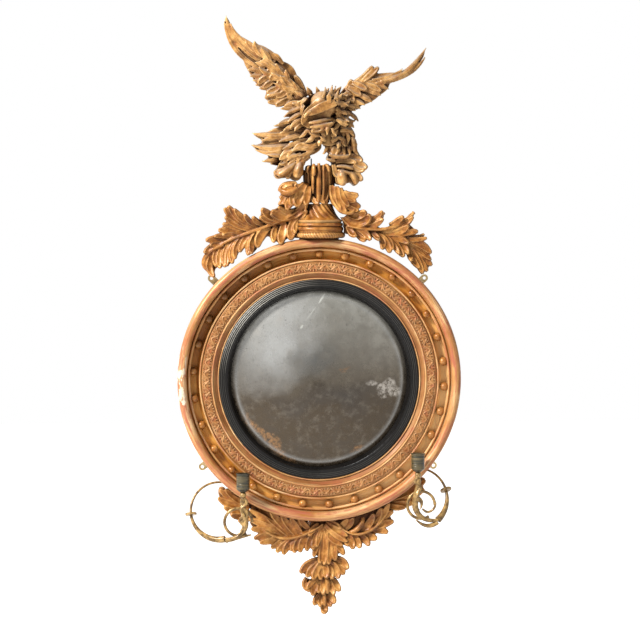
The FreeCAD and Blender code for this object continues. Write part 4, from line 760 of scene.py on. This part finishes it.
# the ribbon and leaves on the flat band: one turn of the ribbon, repeated round the frame. The strokes
# run along the band and across it, and were drawn for a ribbon of the given number of turns
ribbon = dict(radius=242.4, front=53.0, turns=60, drawnFor=44, height=0.2, thick=3.0, voxel=1.1, soften=0.4,
              seed=4)
ribbonStrokes = [
    ([(-1, -5.5), (7, -1.5), (13, 3.5), (18, 6)], 6.0, "roll", 14),
    ([(16, 6), (22, 3.5), (28, -1.5), (35.5, -5.5)], 6.0, "roll", -14),
    ([(15, 2.0), (12, -2, 1), (8.5, -6.5)], 3.8, "tuft"),
    ([(17.5, 1.5), (17.5, -3, 1), (17, -8)], 4.2, "tuft"),
    ([(20, 2.0), (22.5, -2, 1), (26, -6.5)], 3.8, "tuft"),
    ([(-3, -1.5), (-6, 2, 1), (-9.5, 6.5)], 3.8, "tuft"), ([(0, -1.5), (0, 3, 1), (0.5, 8)], 4.2, "tuft"),
    ([(3, -1.5), (5.5, 2, 1), (9, 6.5)], 3.8, "tuft"),
]


def bandSpot(run, offset, lift):
    angle = run * ribbon["drawnFor"] / ribbon["turns"] / ribbon["radius"]
    reach = (ribbon["radius"] + offset) * mm
    depth = ribbon["front"] + ribbon["height"] + lift
    return (reach * math.sin(angle), -depth * mm, reach * math.cos(angle))


draw = random.Random(ribbon["seed"])
blades = []
for points, width, kind, roll in (wholeStroke(*stroke) for stroke in ribbonStrokes):
    spots = [bandSpot(*point) for point in points]
    blades.append(bladeAlong(spots, width, kind, roll, draw, thick=ribbon["thick"]))
motif = skinned("bandMotif", blades, ribbon["voxel"], soften=ribbon["soften"], rounds=1)
motifs = [motif]
for number in range(1, ribbon["turns"]):
    twin = copyOf(motif)
    twin.rotation_euler = (0, 2 * math.pi * number / ribbon["turns"], 0)
    motifs.append(twin)
bandRibbon = joined(motifs, "bandRibbon")
bpy.ops.object.shade_smooth()
place(bandRibbon, "gilt_ribbon")
bpy.data.objects.remove(blank, do_unlink=True)

# thin turned beads between the mouldings: radius, depth and thickness of each in mm, and its slot
beads = {
    "rimBead": (280.2, 51.0, 3.0, "gilt_frame"), "coveBead": (256.8, 51.2, 2.0, "gilt_frame"),
    "bandBead": (230.6, 52.2, 1.9, "gilt_rim"), "sightBead": (217.6, 46.4, 1.5, "gilt_rim"),
}
beadSteps = dict(along=288, around=12)
turnedBeads = []
for name, (radius, depth, thickness, slot) in beads.items():
    deselectAll()
    bpy.ops.mesh.primitive_torus_add(major_segments=beadSteps["along"], minor_segments=beadSteps["around"],
                                     major_radius=radius * mm, minor_radius=thickness * mm,
                                     location=(0, -depth * mm, 0), rotation=(math.pi / 2, 0, 0))
    bead = joined([bpy.context.object], name)
    bpy.ops.object.shade_smooth()
    place(bead, slot)
    turnedBeads.append(bead)
print("ribbon band and beads")


# finishes, all procedural, on the pieces' own coordinates
def startMaterial(name):
    material = bpy.data.materials.new(name)
    material.use_nodes = True
    tree = material.node_tree
    tree.nodes.clear()
    shader = tree.nodes.new("ShaderNodeBsdfPrincipled")
    output = tree.nodes.new("ShaderNodeOutputMaterial")
    tree.links.new(shader.outputs["BSDF"], output.inputs["Surface"])
    place = tree.nodes.new("ShaderNodeTexCoord")
    return material, tree, shader, place.outputs["Object"]


def feed(tree, socket, value):
    if isinstance(value, tuple):
        socket.default_value = (*value, 1) if len(socket.default_value) == 4 else value
    elif isinstance(value, (int, float)):
        socket.default_value = value
    elif value is not None:
        tree.links.new(value, socket)


def setShader(tree, shader, values):
    for name, value in values.items():
        feed(tree, shader.inputs[name], value)


def noiseNode(tree, place, scale, detail=4.0, roughness=0.55):
    node = tree.nodes.new("ShaderNodeTexNoise")
    node.inputs["Scale"].default_value = scale
    node.inputs["Detail"].default_value = detail
    node.inputs["Roughness"].default_value = roughness
    tree.links.new(place, node.inputs["Vector"])
    return node


# a grain is a noise's scale, detail and roughness
def noise(tree, place, grain):
    return noiseNode(tree, place, *grain).outputs["Fac"]


# colours or greys by value; each stop is a place and a colour
def ramp(tree, value, *stops):
    node = tree.nodes.new("ShaderNodeValToRGB")
    tree.links.new(value, node.inputs["Fac"])
    points = node.color_ramp.elements
    while len(points) < len(stops):
        points.new(0.5)
    for point, (spot, colour) in zip(points, stops):
        point.position = spot
        if not isinstance(colour, tuple):
            colour = (colour, colour, colour)
        point.color = (*colour, 1)
    return node.outputs["Color"]


# 0 where the noise is under low, 1 where it is over high
def blotches(tree, place, grain, low, high):
    return ramp(tree, noise(tree, place, grain), (low, 0.0), (high, 1.0))


def mixed(tree, share, first, second):
    node = tree.nodes.new("ShaderNodeMix")
    node.data_type = "RGBA"
    feed(tree, node.inputs[0], share)
    feed(tree, node.inputs[6], first)
    feed(tree, node.inputs[7], second)
    return node.outputs[2]


def sums(tree, kind, first, second=None, third=None):
    node = tree.nodes.new("ShaderNodeMath")
    node.operation = kind
    for socket, value in zip(node.inputs, (first, second, third)):
        feed(tree, socket, value)
    return node.outputs[0]


def times(tree, first, second):
    return sums(tree, "MULTIPLY", first, second)


# paint over a colour where the mask is, at a share of its strength
def over(tree, colour, mask, share, paint):
    return mixed(tree, times(tree, mask, share), colour, paint)


def vectors(tree, kind, first, second=None):
    node = tree.nodes.new("ShaderNodeVectorMath")
    node.operation = kind
    feed(tree, node.inputs[0], first)
    feed(tree, node.inputs[1], second)
    return node.outputs["Value"] if kind == "LENGTH" else node.outputs["Vector"]


# a place's coordinates across the front, without its depth
def flattened(tree, place):
    return vectors(tree, "MULTIPLY", place, (1, 0, 1))


def separated(tree, vector):
    node = tree.nodes.new("ShaderNodeSeparateXYZ")
    tree.links.new(vector, node.inputs[0])
    return node.outputs


def bump(tree, shader, height, strength, distance):
    node = tree.nodes.new("ShaderNodeBump")
    node.inputs["Strength"].default_value = strength
    node.inputs["Distance"].default_value = distance
    tree.links.new(height, node.inputs["Height"])
    tree.links.new(node.outputs["Normal"], shader.inputs["Normal"])


# hollows by how closed in a place is, within a reach in mm
def hollows(tree, reach, closed, open):
    shade = tree.nodes.new("ShaderNodeAmbientOcclusion")
    shade.inputs["Distance"].default_value = reach * mm
    shade.samples = 8
    return ramp(tree, shade.outputs["AO"], (closed, 1.0), (open, 0.0))


# 1 inside an oval patch and 0 outside it; centre and radii in mm, turn in degrees above level
def patch(tree, place, centre, radii, turn=0, soft=0.6):
    node = tree.nodes.new("ShaderNodeMapping")
    node.vector_type = "TEXTURE"
    node.inputs["Location"].default_value = (centre[0] * mm, 0, centre[1] * mm)
    node.inputs["Rotation"].default_value = (0, -math.radians(turn), 0)
    node.inputs["Scale"].default_value = (radii[0] * mm, 1, radii[1] * mm)
    tree.links.new(flattened(tree, place), node.inputs["Vector"])
    return ramp(tree, vectors(tree, "LENGTH", node.outputs["Vector"]), (1 - soft, 1.0), (1.0, 0.0))


# coordinates that run with the turning of the frame, and the distance from its centre; pull is how far
# the pattern is drawn out along the turning, slant how far it follows the depth
turning = dict(pull=0.022, slant=0.7)


def aroundTheFrame(tree, place):
    flat = flattened(tree, place)
    reach = vectors(tree, "LENGTH", flat)
    way = vectors(tree, "NORMALIZE", flat)
    depth = separated(tree, place)["Y"]
    line = tree.nodes.new("ShaderNodeCombineXYZ")
    tree.links.new(sums(tree, "MULTIPLY_ADD", depth, turning["slant"], reach), line.inputs["Y"])
    run = vectors(tree, "MULTIPLY", way, (turning["pull"], 0, turning["pull"]))
    return vectors(tree, "ADD", run, line.outputs["Vector"]), reach


# gilding tones: besides the gold's own colours, the colour of dirt and painted shade in the hollows, and the
# colours of painted shade and painted light on the frame
gilt = dict(deep=(0.17, 0.050, 0.005), mid=(0.43, 0.160, 0.026), pale=(0.72, 0.35, 0.088),
            bole=(0.40, 0.115, 0.040), bright=(0.95, 0.62, 0.25), dirt=(0.050, 0.014, 0.002),
            dust=(0.36, 0.285, 0.215), gesso=(0.88, 0.76, 0.56), paintedShade=(0.17, 0.060, 0.008),
            paintedLight=(0.42, 0.175, 0.045))
eagleGilt = dict(gilt, deep=(0.17, 0.066, 0.012), mid=(0.44, 0.205, 0.053), pale=(0.74, 0.41, 0.14))
rimGilt = dict(gilt, bole=(0.50, 0.155, 0.075), pale=(0.86, 0.56, 0.28), mid=(0.68, 0.35, 0.125),
               deep=(0.42, 0.16, 0.03))
coveGilt = dict(gilt, deep=(0.40, 0.130, 0.010), mid=(0.70, 0.29, 0.040), pale=(0.86, 0.45, 0.100),
                dirt=(0.17, 0.055, 0.003), paintedShade=(0.27, 0.085, 0.007), paintedLight=(1.0, 0.68, 0.30))
bandGilt = dict(gilt, deep=(0.24, 0.086, 0.018), mid=(0.39, 0.16, 0.043), pale=(0.52, 0.25, 0.084),
                bright=(0.90, 0.58, 0.28))
giltGrain = dict(broad=(13, 5, 0.6), streaks=(46, 6, 0.62), wear=(62, 7, 0.68), dust=(40, 5),
                 losses=(75, 5, 0.6), gloss=(160, 6, 0.7), fine=(420, 5, 0.6))
turnedGrain = dict(giltGrain, streaks=(120, 6, 0.62), wear=(210, 7, 0.68))
# shares of the marks, among them how much dirt and painted shade go into the creases, and how much painted
# light comes with the painted shade
giltShares = dict(streaks=0.6, broad=0.4, rawWear=0.35, paintedLight=0.95, creaseDirtAndShade=0.7, dullHollows=0.8)
# ovals on the frame, in mm: where its edge has lost its gold, where shade is painted on at the upper left,
# where light is painted on at the lower right
lostPatch = dict(centre=(-298, -8), radii=(30, 85), soft=0.3)
paintedShadePatch = dict(centre=(-215, 165), radii=(260, 330), turn=45, soft=0.7)
paintedLightPatch = dict(centre=(230, -170), radii=(330, 330), soft=0.6)


# worn water gilding over red bole, darkened in the hollows by dirt and painted shade, with edges lightened by
# rubbing and painted highlight
def gilding(name, tones=gilt, wear=0.3, dirt=0.9, edges=0.6, reach=12, turned=False, dust=0.0, lost=False,
            shine=0.34, paintedLightAndShade=0.0):
    material, tree, shader, place = startMaterial(name)
    along, fromCentre = aroundTheFrame(tree, place) if turned else (place, None)
    grain = turnedGrain if turned else giltGrain
    broad = noise(tree, place, grain["broad"])
    streaks = noise(tree, along, grain["streaks"])
    broad = times(tree, broad, giltShares["broad"])
    cloud = sums(tree, "MULTIPLY_ADD", streaks, giltShares["streaks"], broad)
    tone = ramp(tree, cloud, (0.39, tones["deep"]), (0.5, tones["mid"]), (0.61, tones["pale"]))
    worn = blotches(tree, along, grain["wear"], 0.60 - wear * 0.2, 0.70 - wear * 0.16)
    colour = over(tree, tone, worn, min(1.0, giltShares["rawWear"] + wear), tones["bole"])
    shape = tree.nodes.new("ShaderNodeNewGeometry")
    # edges lightened toward the bright tone: partly rubbed gold, partly painted highlight
    raised = ramp(tree, shape.outputs["Pointiness"], (0.51, 0.0), (0.565, 1.0))
    colour = over(tree, colour, raised, edges, tones["bright"])
    if dust:
        up = separated(tree, shape.outputs["Normal"])["Z"]
        level = ramp(tree, up, (0.12, 0.0), (0.6, dust))
        settled = times(tree, level, ramp(tree, noise(tree, place, grain["dust"]), (0.35, 0.3), (0.6, 1.0)))
        colour = mixed(tree, settled, colour, tones["dust"])
    if lost:  # the outermost edge has lost its gold in places, down to the pale ground
        edge = ramp(tree, fromCentre, (0.287, 0.0), (0.291, 1.0))
        upright = vectors(tree, "MULTIPLY", place, (1, 1, 0.35))
        bare = times(tree, edge, blotches(tree, upright, grain["losses"], 0.53, 0.56))
        colour = mixed(tree, times(tree, bare, patch(tree, place, **lostPatch)), colour, tones["gesso"])
    if paintedLightAndShade:  # painted shade at the upper left, painted light at the lower right
        colour = over(tree, colour, patch(tree, place, **paintedShadePatch), paintedLightAndShade, tones["paintedShade"])
        share = paintedLightAndShade * giltShares["paintedLight"]
        colour = over(tree, colour, patch(tree, place, **paintedLightPatch), share, tones["paintedLight"])
    # dirt and painted shade: hollows (by occlusion) and creases (by low pointiness) are darkened toward the
    # dark tone
    hollow = hollows(tree, reach, 0.32, 0.97)
    sunk = ramp(tree, shape.outputs["Pointiness"], (0.44, 1.0), (0.495, 0.0))
    hollow = sums(tree, "MAXIMUM", hollow, times(tree, sunk, giltShares["creaseDirtAndShade"]))
    colour = over(tree, colour, hollow, dirt, tones["dirt"])
    rough = ramp(tree, noise(tree, along, grain["gloss"]), (0.3, shine), (0.75, shine + 0.2))
    rough = over(tree, rough, hollow, giltShares["dullHollows"], (0.8, 0.8, 0.8))
    setShader(tree, shader, {"Base Color": colour, "Metallic": 0.1, "Specular IOR Level": 0.35,
                             "Roughness": rough})
    fine = noise(tree, along, grain["fine"])
    bump(tree, shader, fine, 0.35 if turned else 0.25, 0.0007 if turned else 0.0006)
    return material


metalGrain = dict(tone=(90, 6), spots=(260, 8, 0.75), fine=(500, 5))


def brass(name, light, dark, metal=0.85, green=(0.10, 0.11, 0.045), dirty=0.6, closed=0.3, rings=False):
    material, tree, shader, place = startMaterial(name)
    along = vectors(tree, "MULTIPLY", place, (0.15, 0.15, 2.2)) if rings else place
    tone = ramp(tree, noise(tree, along, metalGrain["tone"]), (0.36, dark), (0.64, light))
    spots = blotches(tree, place, metalGrain["spots"], 0.5, 0.68)
    dull = times(tree, hollows(tree, 8, closed, 0.95), 0.95)
    dull = sums(tree, "MAXIMUM", dull, times(tree, spots, dirty))
    setShader(tree, shader, {"Base Color": mixed(tree, dull, tone, green), "Metallic": metal,
                             "Roughness": ramp(tree, dull, (0.0, 0.3), (1.0, 0.6))})
    bump(tree, shader, noise(tree, place, metalGrain["fine"]), 0.15, 0.0004)
    return material


# black slip with fine reeds; catching is where they catch the light, an oval in mm, and how much
reeds = dict(count=5, pitch=0.00366, light=(0.60, 0.57, 0.50), least=0.10, most=0.95,
             catching=dict(centre=(-140, 150), radii=(150, 190), turn=45, soft=0.8))
slipGrain = dict(tone=(130, 7, 0.7), gloss=(130, 6), fine=(350, 5))


def ebonised(name):
    material, tree, shader, place = startMaterial(name)
    along, fromCentre = aroundTheFrame(tree, place)
    black, worn = (0.003, 0.0028, 0.0025), (0.014, 0.012, 0.011)
    tone = ramp(tree, noise(tree, along, slipGrain["tone"]), (0.3, black), (0.75, worn))
    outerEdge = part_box("ebonised_slip")[1][0]
    pitch = reeds["pitch"]
    start = 2 * math.pi * (outerEdge - mm) / pitch
    count = sums(tree, "MULTIPLY_ADD", fromCentre, -2 * math.pi / pitch, start)
    wave = sums(tree, "MULTIPLY_ADD", sums(tree, "COSINE", count), -0.5, 0.5)
    crests = ramp(tree, wave, (0.6, 0.0), (0.95, 1.0))
    reach = reeds["count"] * pitch
    inside = ramp(tree, fromCentre, (outerEdge - mm - reach, 0.0), (outerEdge - reach, 1.0),
                  (outerEdge - mm, 1.0), (outerEdge - 0.5 * mm, 0.0))
    lit = patch(tree, place, **reeds["catching"])
    lit = sums(tree, "MULTIPLY_ADD", lit, reeds["most"], reeds["least"])
    tone = mixed(tree, times(tree, times(tree, crests, inside), lit), tone, reeds["light"])
    rough = ramp(tree, noise(tree, along, slipGrain["gloss"]), (0.3, 0.22), (0.75, 0.4))
    setShader(tree, shader, {"Base Color": tone, "Specular IOR Level": 0.16, "Roughness": rough})
    bump(tree, shader, noise(tree, place, slipGrain["fine"]), 0.2, 0.0004)
    return material


# old silvering that has darkened and foxed behind the convex glass, under a painted reflection that is
# lighter towards the top and in soft patches at the upper left. A patch is its tone, centre, radii, turn,
# softness and share; the worn ones are broken up by grit; lengths in mm from the centre
glassTones = dict(low=(0.050, 0.034, 0.018), middle=(0.112, 0.093, 0.068), high=(0.172, 0.155, 0.127),
                  top=(0.33, 0.32, 0.28), paintedReflection=(0.50, 0.50, 0.48), haze=(0.118, 0.122, 0.118),
                  dark=(0.040, 0.034, 0.030), rust=(0.27, 0.135, 0.05), bare=(0.44, 0.40, 0.35),
                  scratch=(0.62, 0.62, 0.56), rim=(0.34, 0.34, 0.33), cloud=(0.072, 0.060, 0.048),
                  smear=(0.34, 0.30, 0.24), speck=(0.035, 0.028, 0.022))
# the two pale patches at the upper left are a painted reflection of the lamp
glassPatches = [
    ("paintedReflection", (-92, 78), (96, 138), -36, 0.85, 0.85), ("paintedReflection", (-60, 150), (90, 40), 28, 0.9, 0.4),
    ("haze", (-8, 42), (70, 56), 20, 0.9, 0.7), ("dark", (44, -34), (120, 30), 6, 0.9, 0.65),
    ("dark", (72, -60), (46, 30), -20, 0.9, 0.45), ("dark", (-60, -58), (60, 26), 0, 0.9, 0.35),
]
glassWear = [
    ("rust", (-122, -122), (64, 13), -48, 0.6, 0.8), ("rust", (-72, -164), (34, 8), -26, 0.6, 0.8),
    ("rust", (86, -146), (20, 7), 30, 0.6, 0.7), ("rust", (60, 22), (20, 5), 12, 0.6, 0.4),
    ("bare", (150, -22), (30, 20), 8, 0.35, 0.8), ("bare", (118, -18), (24, 7), 4, 0.5, 0.7),
    ("bare", (140, -42), (13, 13), 0, 0.4, 0.7),
]
glassScratches = [
    ("scratch", (6, 174), (15, 2.4), 56, 0.5, 1.0), ("scratch", (-17, 143), (22, 1.3), 53, 0.5, 0.6),
    ("scratch", (-38, 114), (6, 2.6), 53, 0.5, 0.8),
]
glassGrain = dict(stir=(16, 6, 0.5), clouds=(34, 9, 0.74), smears=(60, 9, 0.7), grit=(120, 6, 0.8),
                  specks=(230, 4, 0.6))
glassShares = dict(stir=0.07, fall=2.7, cloud=0.4, smear=0.14, speck=0.55)


def mirrorGlass(name):
    material, tree, shader, place = startMaterial(name)
    stirred = noiseNode(tree, place, *glassGrain["stir"]).outputs["Color"]
    shift = vectors(tree, "SUBTRACT", stirred, (0.5, 0.5, 0.5))
    shift = vectors(tree, "MULTIPLY", shift, (glassShares["stir"],) * 3)
    loose = vectors(tree, "ADD", place, shift)
    # painted reflection: the tone runs from dark at the bottom to light at the top
    level = sums(tree, "MULTIPLY_ADD", separated(tree, loose)["Z"], glassShares["fall"], 0.5)
    heights = {"low": 0.36, "middle": 0.52, "high": 0.66, "top": 0.95}
    tone = ramp(tree, level, *[(height, glassTones[key]) for key, height in heights.items()])
    for key, centre, radii, turn, soft, share in glassPatches:
        tone = over(tree, tone, patch(tree, loose, centre, radii, turn, soft), share, glassTones[key])
    clouds = blotches(tree, place, glassGrain["clouds"], 0.42, 0.62)
    tone = over(tree, tone, clouds, glassShares["cloud"], glassTones["cloud"])
    smears = blotches(tree, place, glassGrain["smears"], 0.50, 0.66)
    tone = over(tree, tone, smears, glassShares["smear"], glassTones["smear"])
    grit = blotches(tree, place, glassGrain["grit"], 0.42, 0.56)
    for key, centre, radii, turn, soft, share in glassWear:
        mask = times(tree, patch(tree, loose, centre, radii, turn, soft), share)
        tone = over(tree, tone, mask, grit, glassTones[key])
    specks = blotches(tree, place, glassGrain["specks"], 0.62, 0.7)
    tone = over(tree, tone, specks, glassShares["speck"], glassTones["speck"])
    for key, centre, radii, turn, soft, share in glassScratches:
        tone = over(tree, tone, patch(tree, place, centre, radii, turn, soft), share, glassTones[key])
    fromCentre = vectors(tree, "LENGTH", flattened(tree, place))
    ring = ramp(tree, fromCentre, (0.1745, 0.0), (0.1795, 0.5), (0.1805, 0.0))
    tone = mixed(tree, ring, tone, glassTones["rim"])
    setShader(tree, shader, {"Base Color": tone, "Metallic": 0.7, "Coat Weight": 0.15, "Coat Roughness": 0.08,
                             "Roughness": ramp(tree, clouds, (0.0, 0.2), (1.0, 0.42))})
    return material


def pine(name):
    material, tree, shader, place = startMaterial(name)
    stretch = tree.nodes.new("ShaderNodeMapping")
    stretch.inputs["Scale"].default_value = (1, 1, 0.06)
    tree.links.new(place, stretch.inputs["Vector"])
    grain = noise(tree, stretch.outputs["Vector"], (160, 6, 0.6))
    tone = ramp(tree, grain, (0.3, (0.22, 0.12, 0.055)), (0.7, (0.40, 0.25, 0.12)))
    stain = blotches(tree, place, (12, 6), 0.4, 0.75)
    setShader(tree, shader, {"Base Color": over(tree, tone, stain, 0.5, (0.10, 0.055, 0.03)),
                             "Roughness": 0.75})
    bump(tree, shader, grain, 0.3, 0.0005)
    return material


# each finish: what makes it, and its settings
finishes = {
    # the frame's and the balls' patch settings paint shade at the upper left and light at the lower right
    "giltFrame": (gilding, dict(tones=coveGilt, wear=0.2, dirt=0.25, edges=0.3, reach=9, turned=True,
                                paintedLightAndShade=0.95)),
    "giltRim": (gilding, dict(tones=rimGilt, wear=0.75, dirt=0.8, edges=0.3, turned=True, lost=True)),
    "giltMoulding": (gilding, dict(tones=bandGilt, wear=0.45, edges=0.4, reach=11, turned=True)),
    "giltBead": (gilding, dict(tones=rimGilt, wear=0.6, dirt=0.5, edges=0.2, reach=4, turned=True)),
    "giltCarving": (gilding, dict(wear=0.25, dirt=1.0, edges=0.45, reach=20, shine=0.26)),
    "giltEagle": (gilding, dict(tones=eagleGilt, wear=0.2, dirt=1.0, reach=24, dust=0.85, shine=0.26)),
    "giltRibbon": (gilding, dict(tones=bandGilt, wear=0.5, dirt=0.5, edges=0.4, reach=4)),
    "giltBall": (gilding, dict(wear=0.0, dirt=0.6, edges=0.0, reach=9, shine=0.2, paintedLightAndShade=0.9)),
    "ebonisedWood": (ebonised, {}),
    "mirrorGlass": (mirrorGlass, {}),
    "bareWood": (pine, {}),
    "steelScrew": (brass, dict(light=(0.35, 0.34, 0.32), dark=(0.14, 0.13, 0.12), green=(0.09, 0.05, 0.03))),
    "blackIron": (brass, dict(light=(0.10, 0.09, 0.08), dark=(0.03, 0.028, 0.026), metal=0.5,
                              green=(0.02, 0.018, 0.016))),
    "plateBrass": (brass, dict(light=(0.62, 0.46, 0.24), dark=(0.33, 0.23, 0.10), dirty=0.4)),
    "armBrass": (brass, dict(light=(0.62, 0.38, 0.125), dark=(0.13, 0.066, 0.016), metal=0.2, dirty=0.5,
                             green=(0.10, 0.060, 0.020))),
    "cupBrass": (brass, dict(light=(0.19, 0.14, 0.060), dark=(0.020, 0.019, 0.010), metal=0.12, dirty=0.5,
                             rings=True, green=(0.030, 0.042, 0.030))),
}
materials = {name: maker(name, **settings) for name, (maker, settings) in finishes.items()}
slotFinish = {
    "gilt_frame": "giltFrame", "gilt_rim": "giltRim", "gilt_ribbon": "giltRibbon", "gilt_ball": "giltBall",
    "gilt_plinth": "giltCarving", "gilt_eagle": "giltEagle", "gilt_leaf": "giltCarving",
    "ebonised_wood": "ebonisedWood", "mirror_glass": "mirrorGlass", "pine": "bareWood", "steel": "steelScrew",
    "iron": "blackIron", "brass_plate": "plateBrass", "arm_brass": "armBrass", "cup_brass": "cupBrass",
}


def dress(piece, finish):
    if not piece.material_slots:
        piece.data.materials.append(materials[finish])
    for socket in piece.material_slots:
        socket.material = materials[finish]


for part in frame["record"]["subparts"]:
    dress(frame["nodes"][part["node"]], slotFinish[part["material_slot"]])
dress(frame["nodes"]["inner_moulding"], "giltMoulding")
for piece in [item for item in bpy.data.objects if item.type == "MESH" and item.name not in frame["nodes"]]:
    dress(piece, "giltEagle" if piece.name.startswith("eagle") else "giltCarving")
for finish, pieces in {"giltRibbon": [bandRibbon], "giltBead": turnedBeads, "armBrass": stemPieces}.items():
    for piece in pieces:
        dress(piece, finish)
print("finishes")

# floor, light and camera, in metres, watts and degrees; the floor's own light grows from floorGlow to 1
# between the two distances from the object, so that its shadow shows near it
studio = dict(floorSize=14, floorDrop=0.78, floorGlow=0.3, glowReach=(0.8, 1.1), skyForPieces=0.14,
              aimHeight=0.1)
lamps = {
    "keyLamp": dict(spot=(-2.95, -2.1, 2.7), size=0.8, power=318),
    "fillLamp": dict(spot=(2.6, -3.2, 0.4), size=2.0, power=5),
}
view = dict(azimuth=-3, elevation=3, distance=5.0, target=(0.002, -0.04, 0.128), widthAtFrame=1.379)


# 1 where the camera, a reflection or a view through glass looks at the background
def lookedAt(tree):
    rays = tree.nodes.new("ShaderNodeLightPath")
    through = sums(tree, "MAXIMUM", rays.outputs["Is Glossy Ray"], rays.outputs["Is Transmission Ray"])
    return sums(tree, "MAXIMUM", rays.outputs["Is Camera Ray"], through)


deselectAll()
bpy.ops.mesh.primitive_plane_add(size=studio["floorSize"], location=(0, 0, -studio["floorDrop"]))
floor = bpy.context.object
floor.name = "studioFloor"
bpy.ops.object.transform_apply(location=True)
paper, tree, shader, spot = startMaterial("paleFloor")
half = times(tree, vectors(tree, "LENGTH", spot), 0.5)  # halved, because a ramp ends at 1
near, far = studio["glowReach"]
farOff = ramp(tree, half, (near / 2, studio["floorGlow"]), (far / 2, 1.0))
setShader(tree, shader, {"Base Color": (0.9, 0.9, 0.9), "Roughness": 0.9, "Emission Color": (1.0, 1.0, 1.0),
                         "Emission Strength": times(tree, lookedAt(tree), farOff)})
floor.data.materials.append(paper)

world = bpy.data.worlds.new("studio")
bpy.context.scene.world = world
world.use_nodes = True
tree = world.node_tree
tree.nodes.clear()
sky = tree.nodes.new("ShaderNodeBackground")
sky.inputs["Color"].default_value = (1, 1, 1, 1)
glow = sums(tree, "MULTIPLY_ADD", lookedAt(tree), 1 - studio["skyForPieces"], studio["skyForPieces"])
tree.links.new(glow, sky.inputs["Strength"])
output = tree.nodes.new("ShaderNodeOutputWorld")
tree.links.new(sky.outputs[0], output.inputs["Surface"])

for name, lamp in lamps.items():
    data = bpy.data.lights.new(name, "AREA")
    data.shape = "SQUARE"
    data.size = lamp["size"]
    data.energy = lamp["power"]
    softbox = bpy.data.objects.new(name, data)
    bpy.context.scene.collection.objects.link(softbox)
    softbox.location = lamp["spot"]
    aim = Vector((0, 0, studio["aimHeight"])) - Vector(lamp["spot"])
    softbox.rotation_euler = aim.to_track_quat("-Z", "Y").to_euler()

turn, tilt = math.radians(view["azimuth"]), math.radians(view["elevation"])
away = Vector((math.sin(turn) * math.cos(tilt), -math.cos(turn) * math.cos(tilt), math.sin(tilt)))
data = bpy.data.cameras.new("camera")
data.lens = data.sensor_width * view["distance"] / view["widthAtFrame"]
data.clip_end = 50
camera = bpy.data.objects.new("camera", data)
bpy.context.scene.collection.objects.link(camera)
camera.location = Vector(view["target"]) + away * view["distance"]
camera.rotation_euler = (-away).to_track_quat("-Z", "Y").to_euler()
bpy.context.scene.camera = camera
bpy.context.scene.view_settings.view_transform = "Standard"
print("studio")
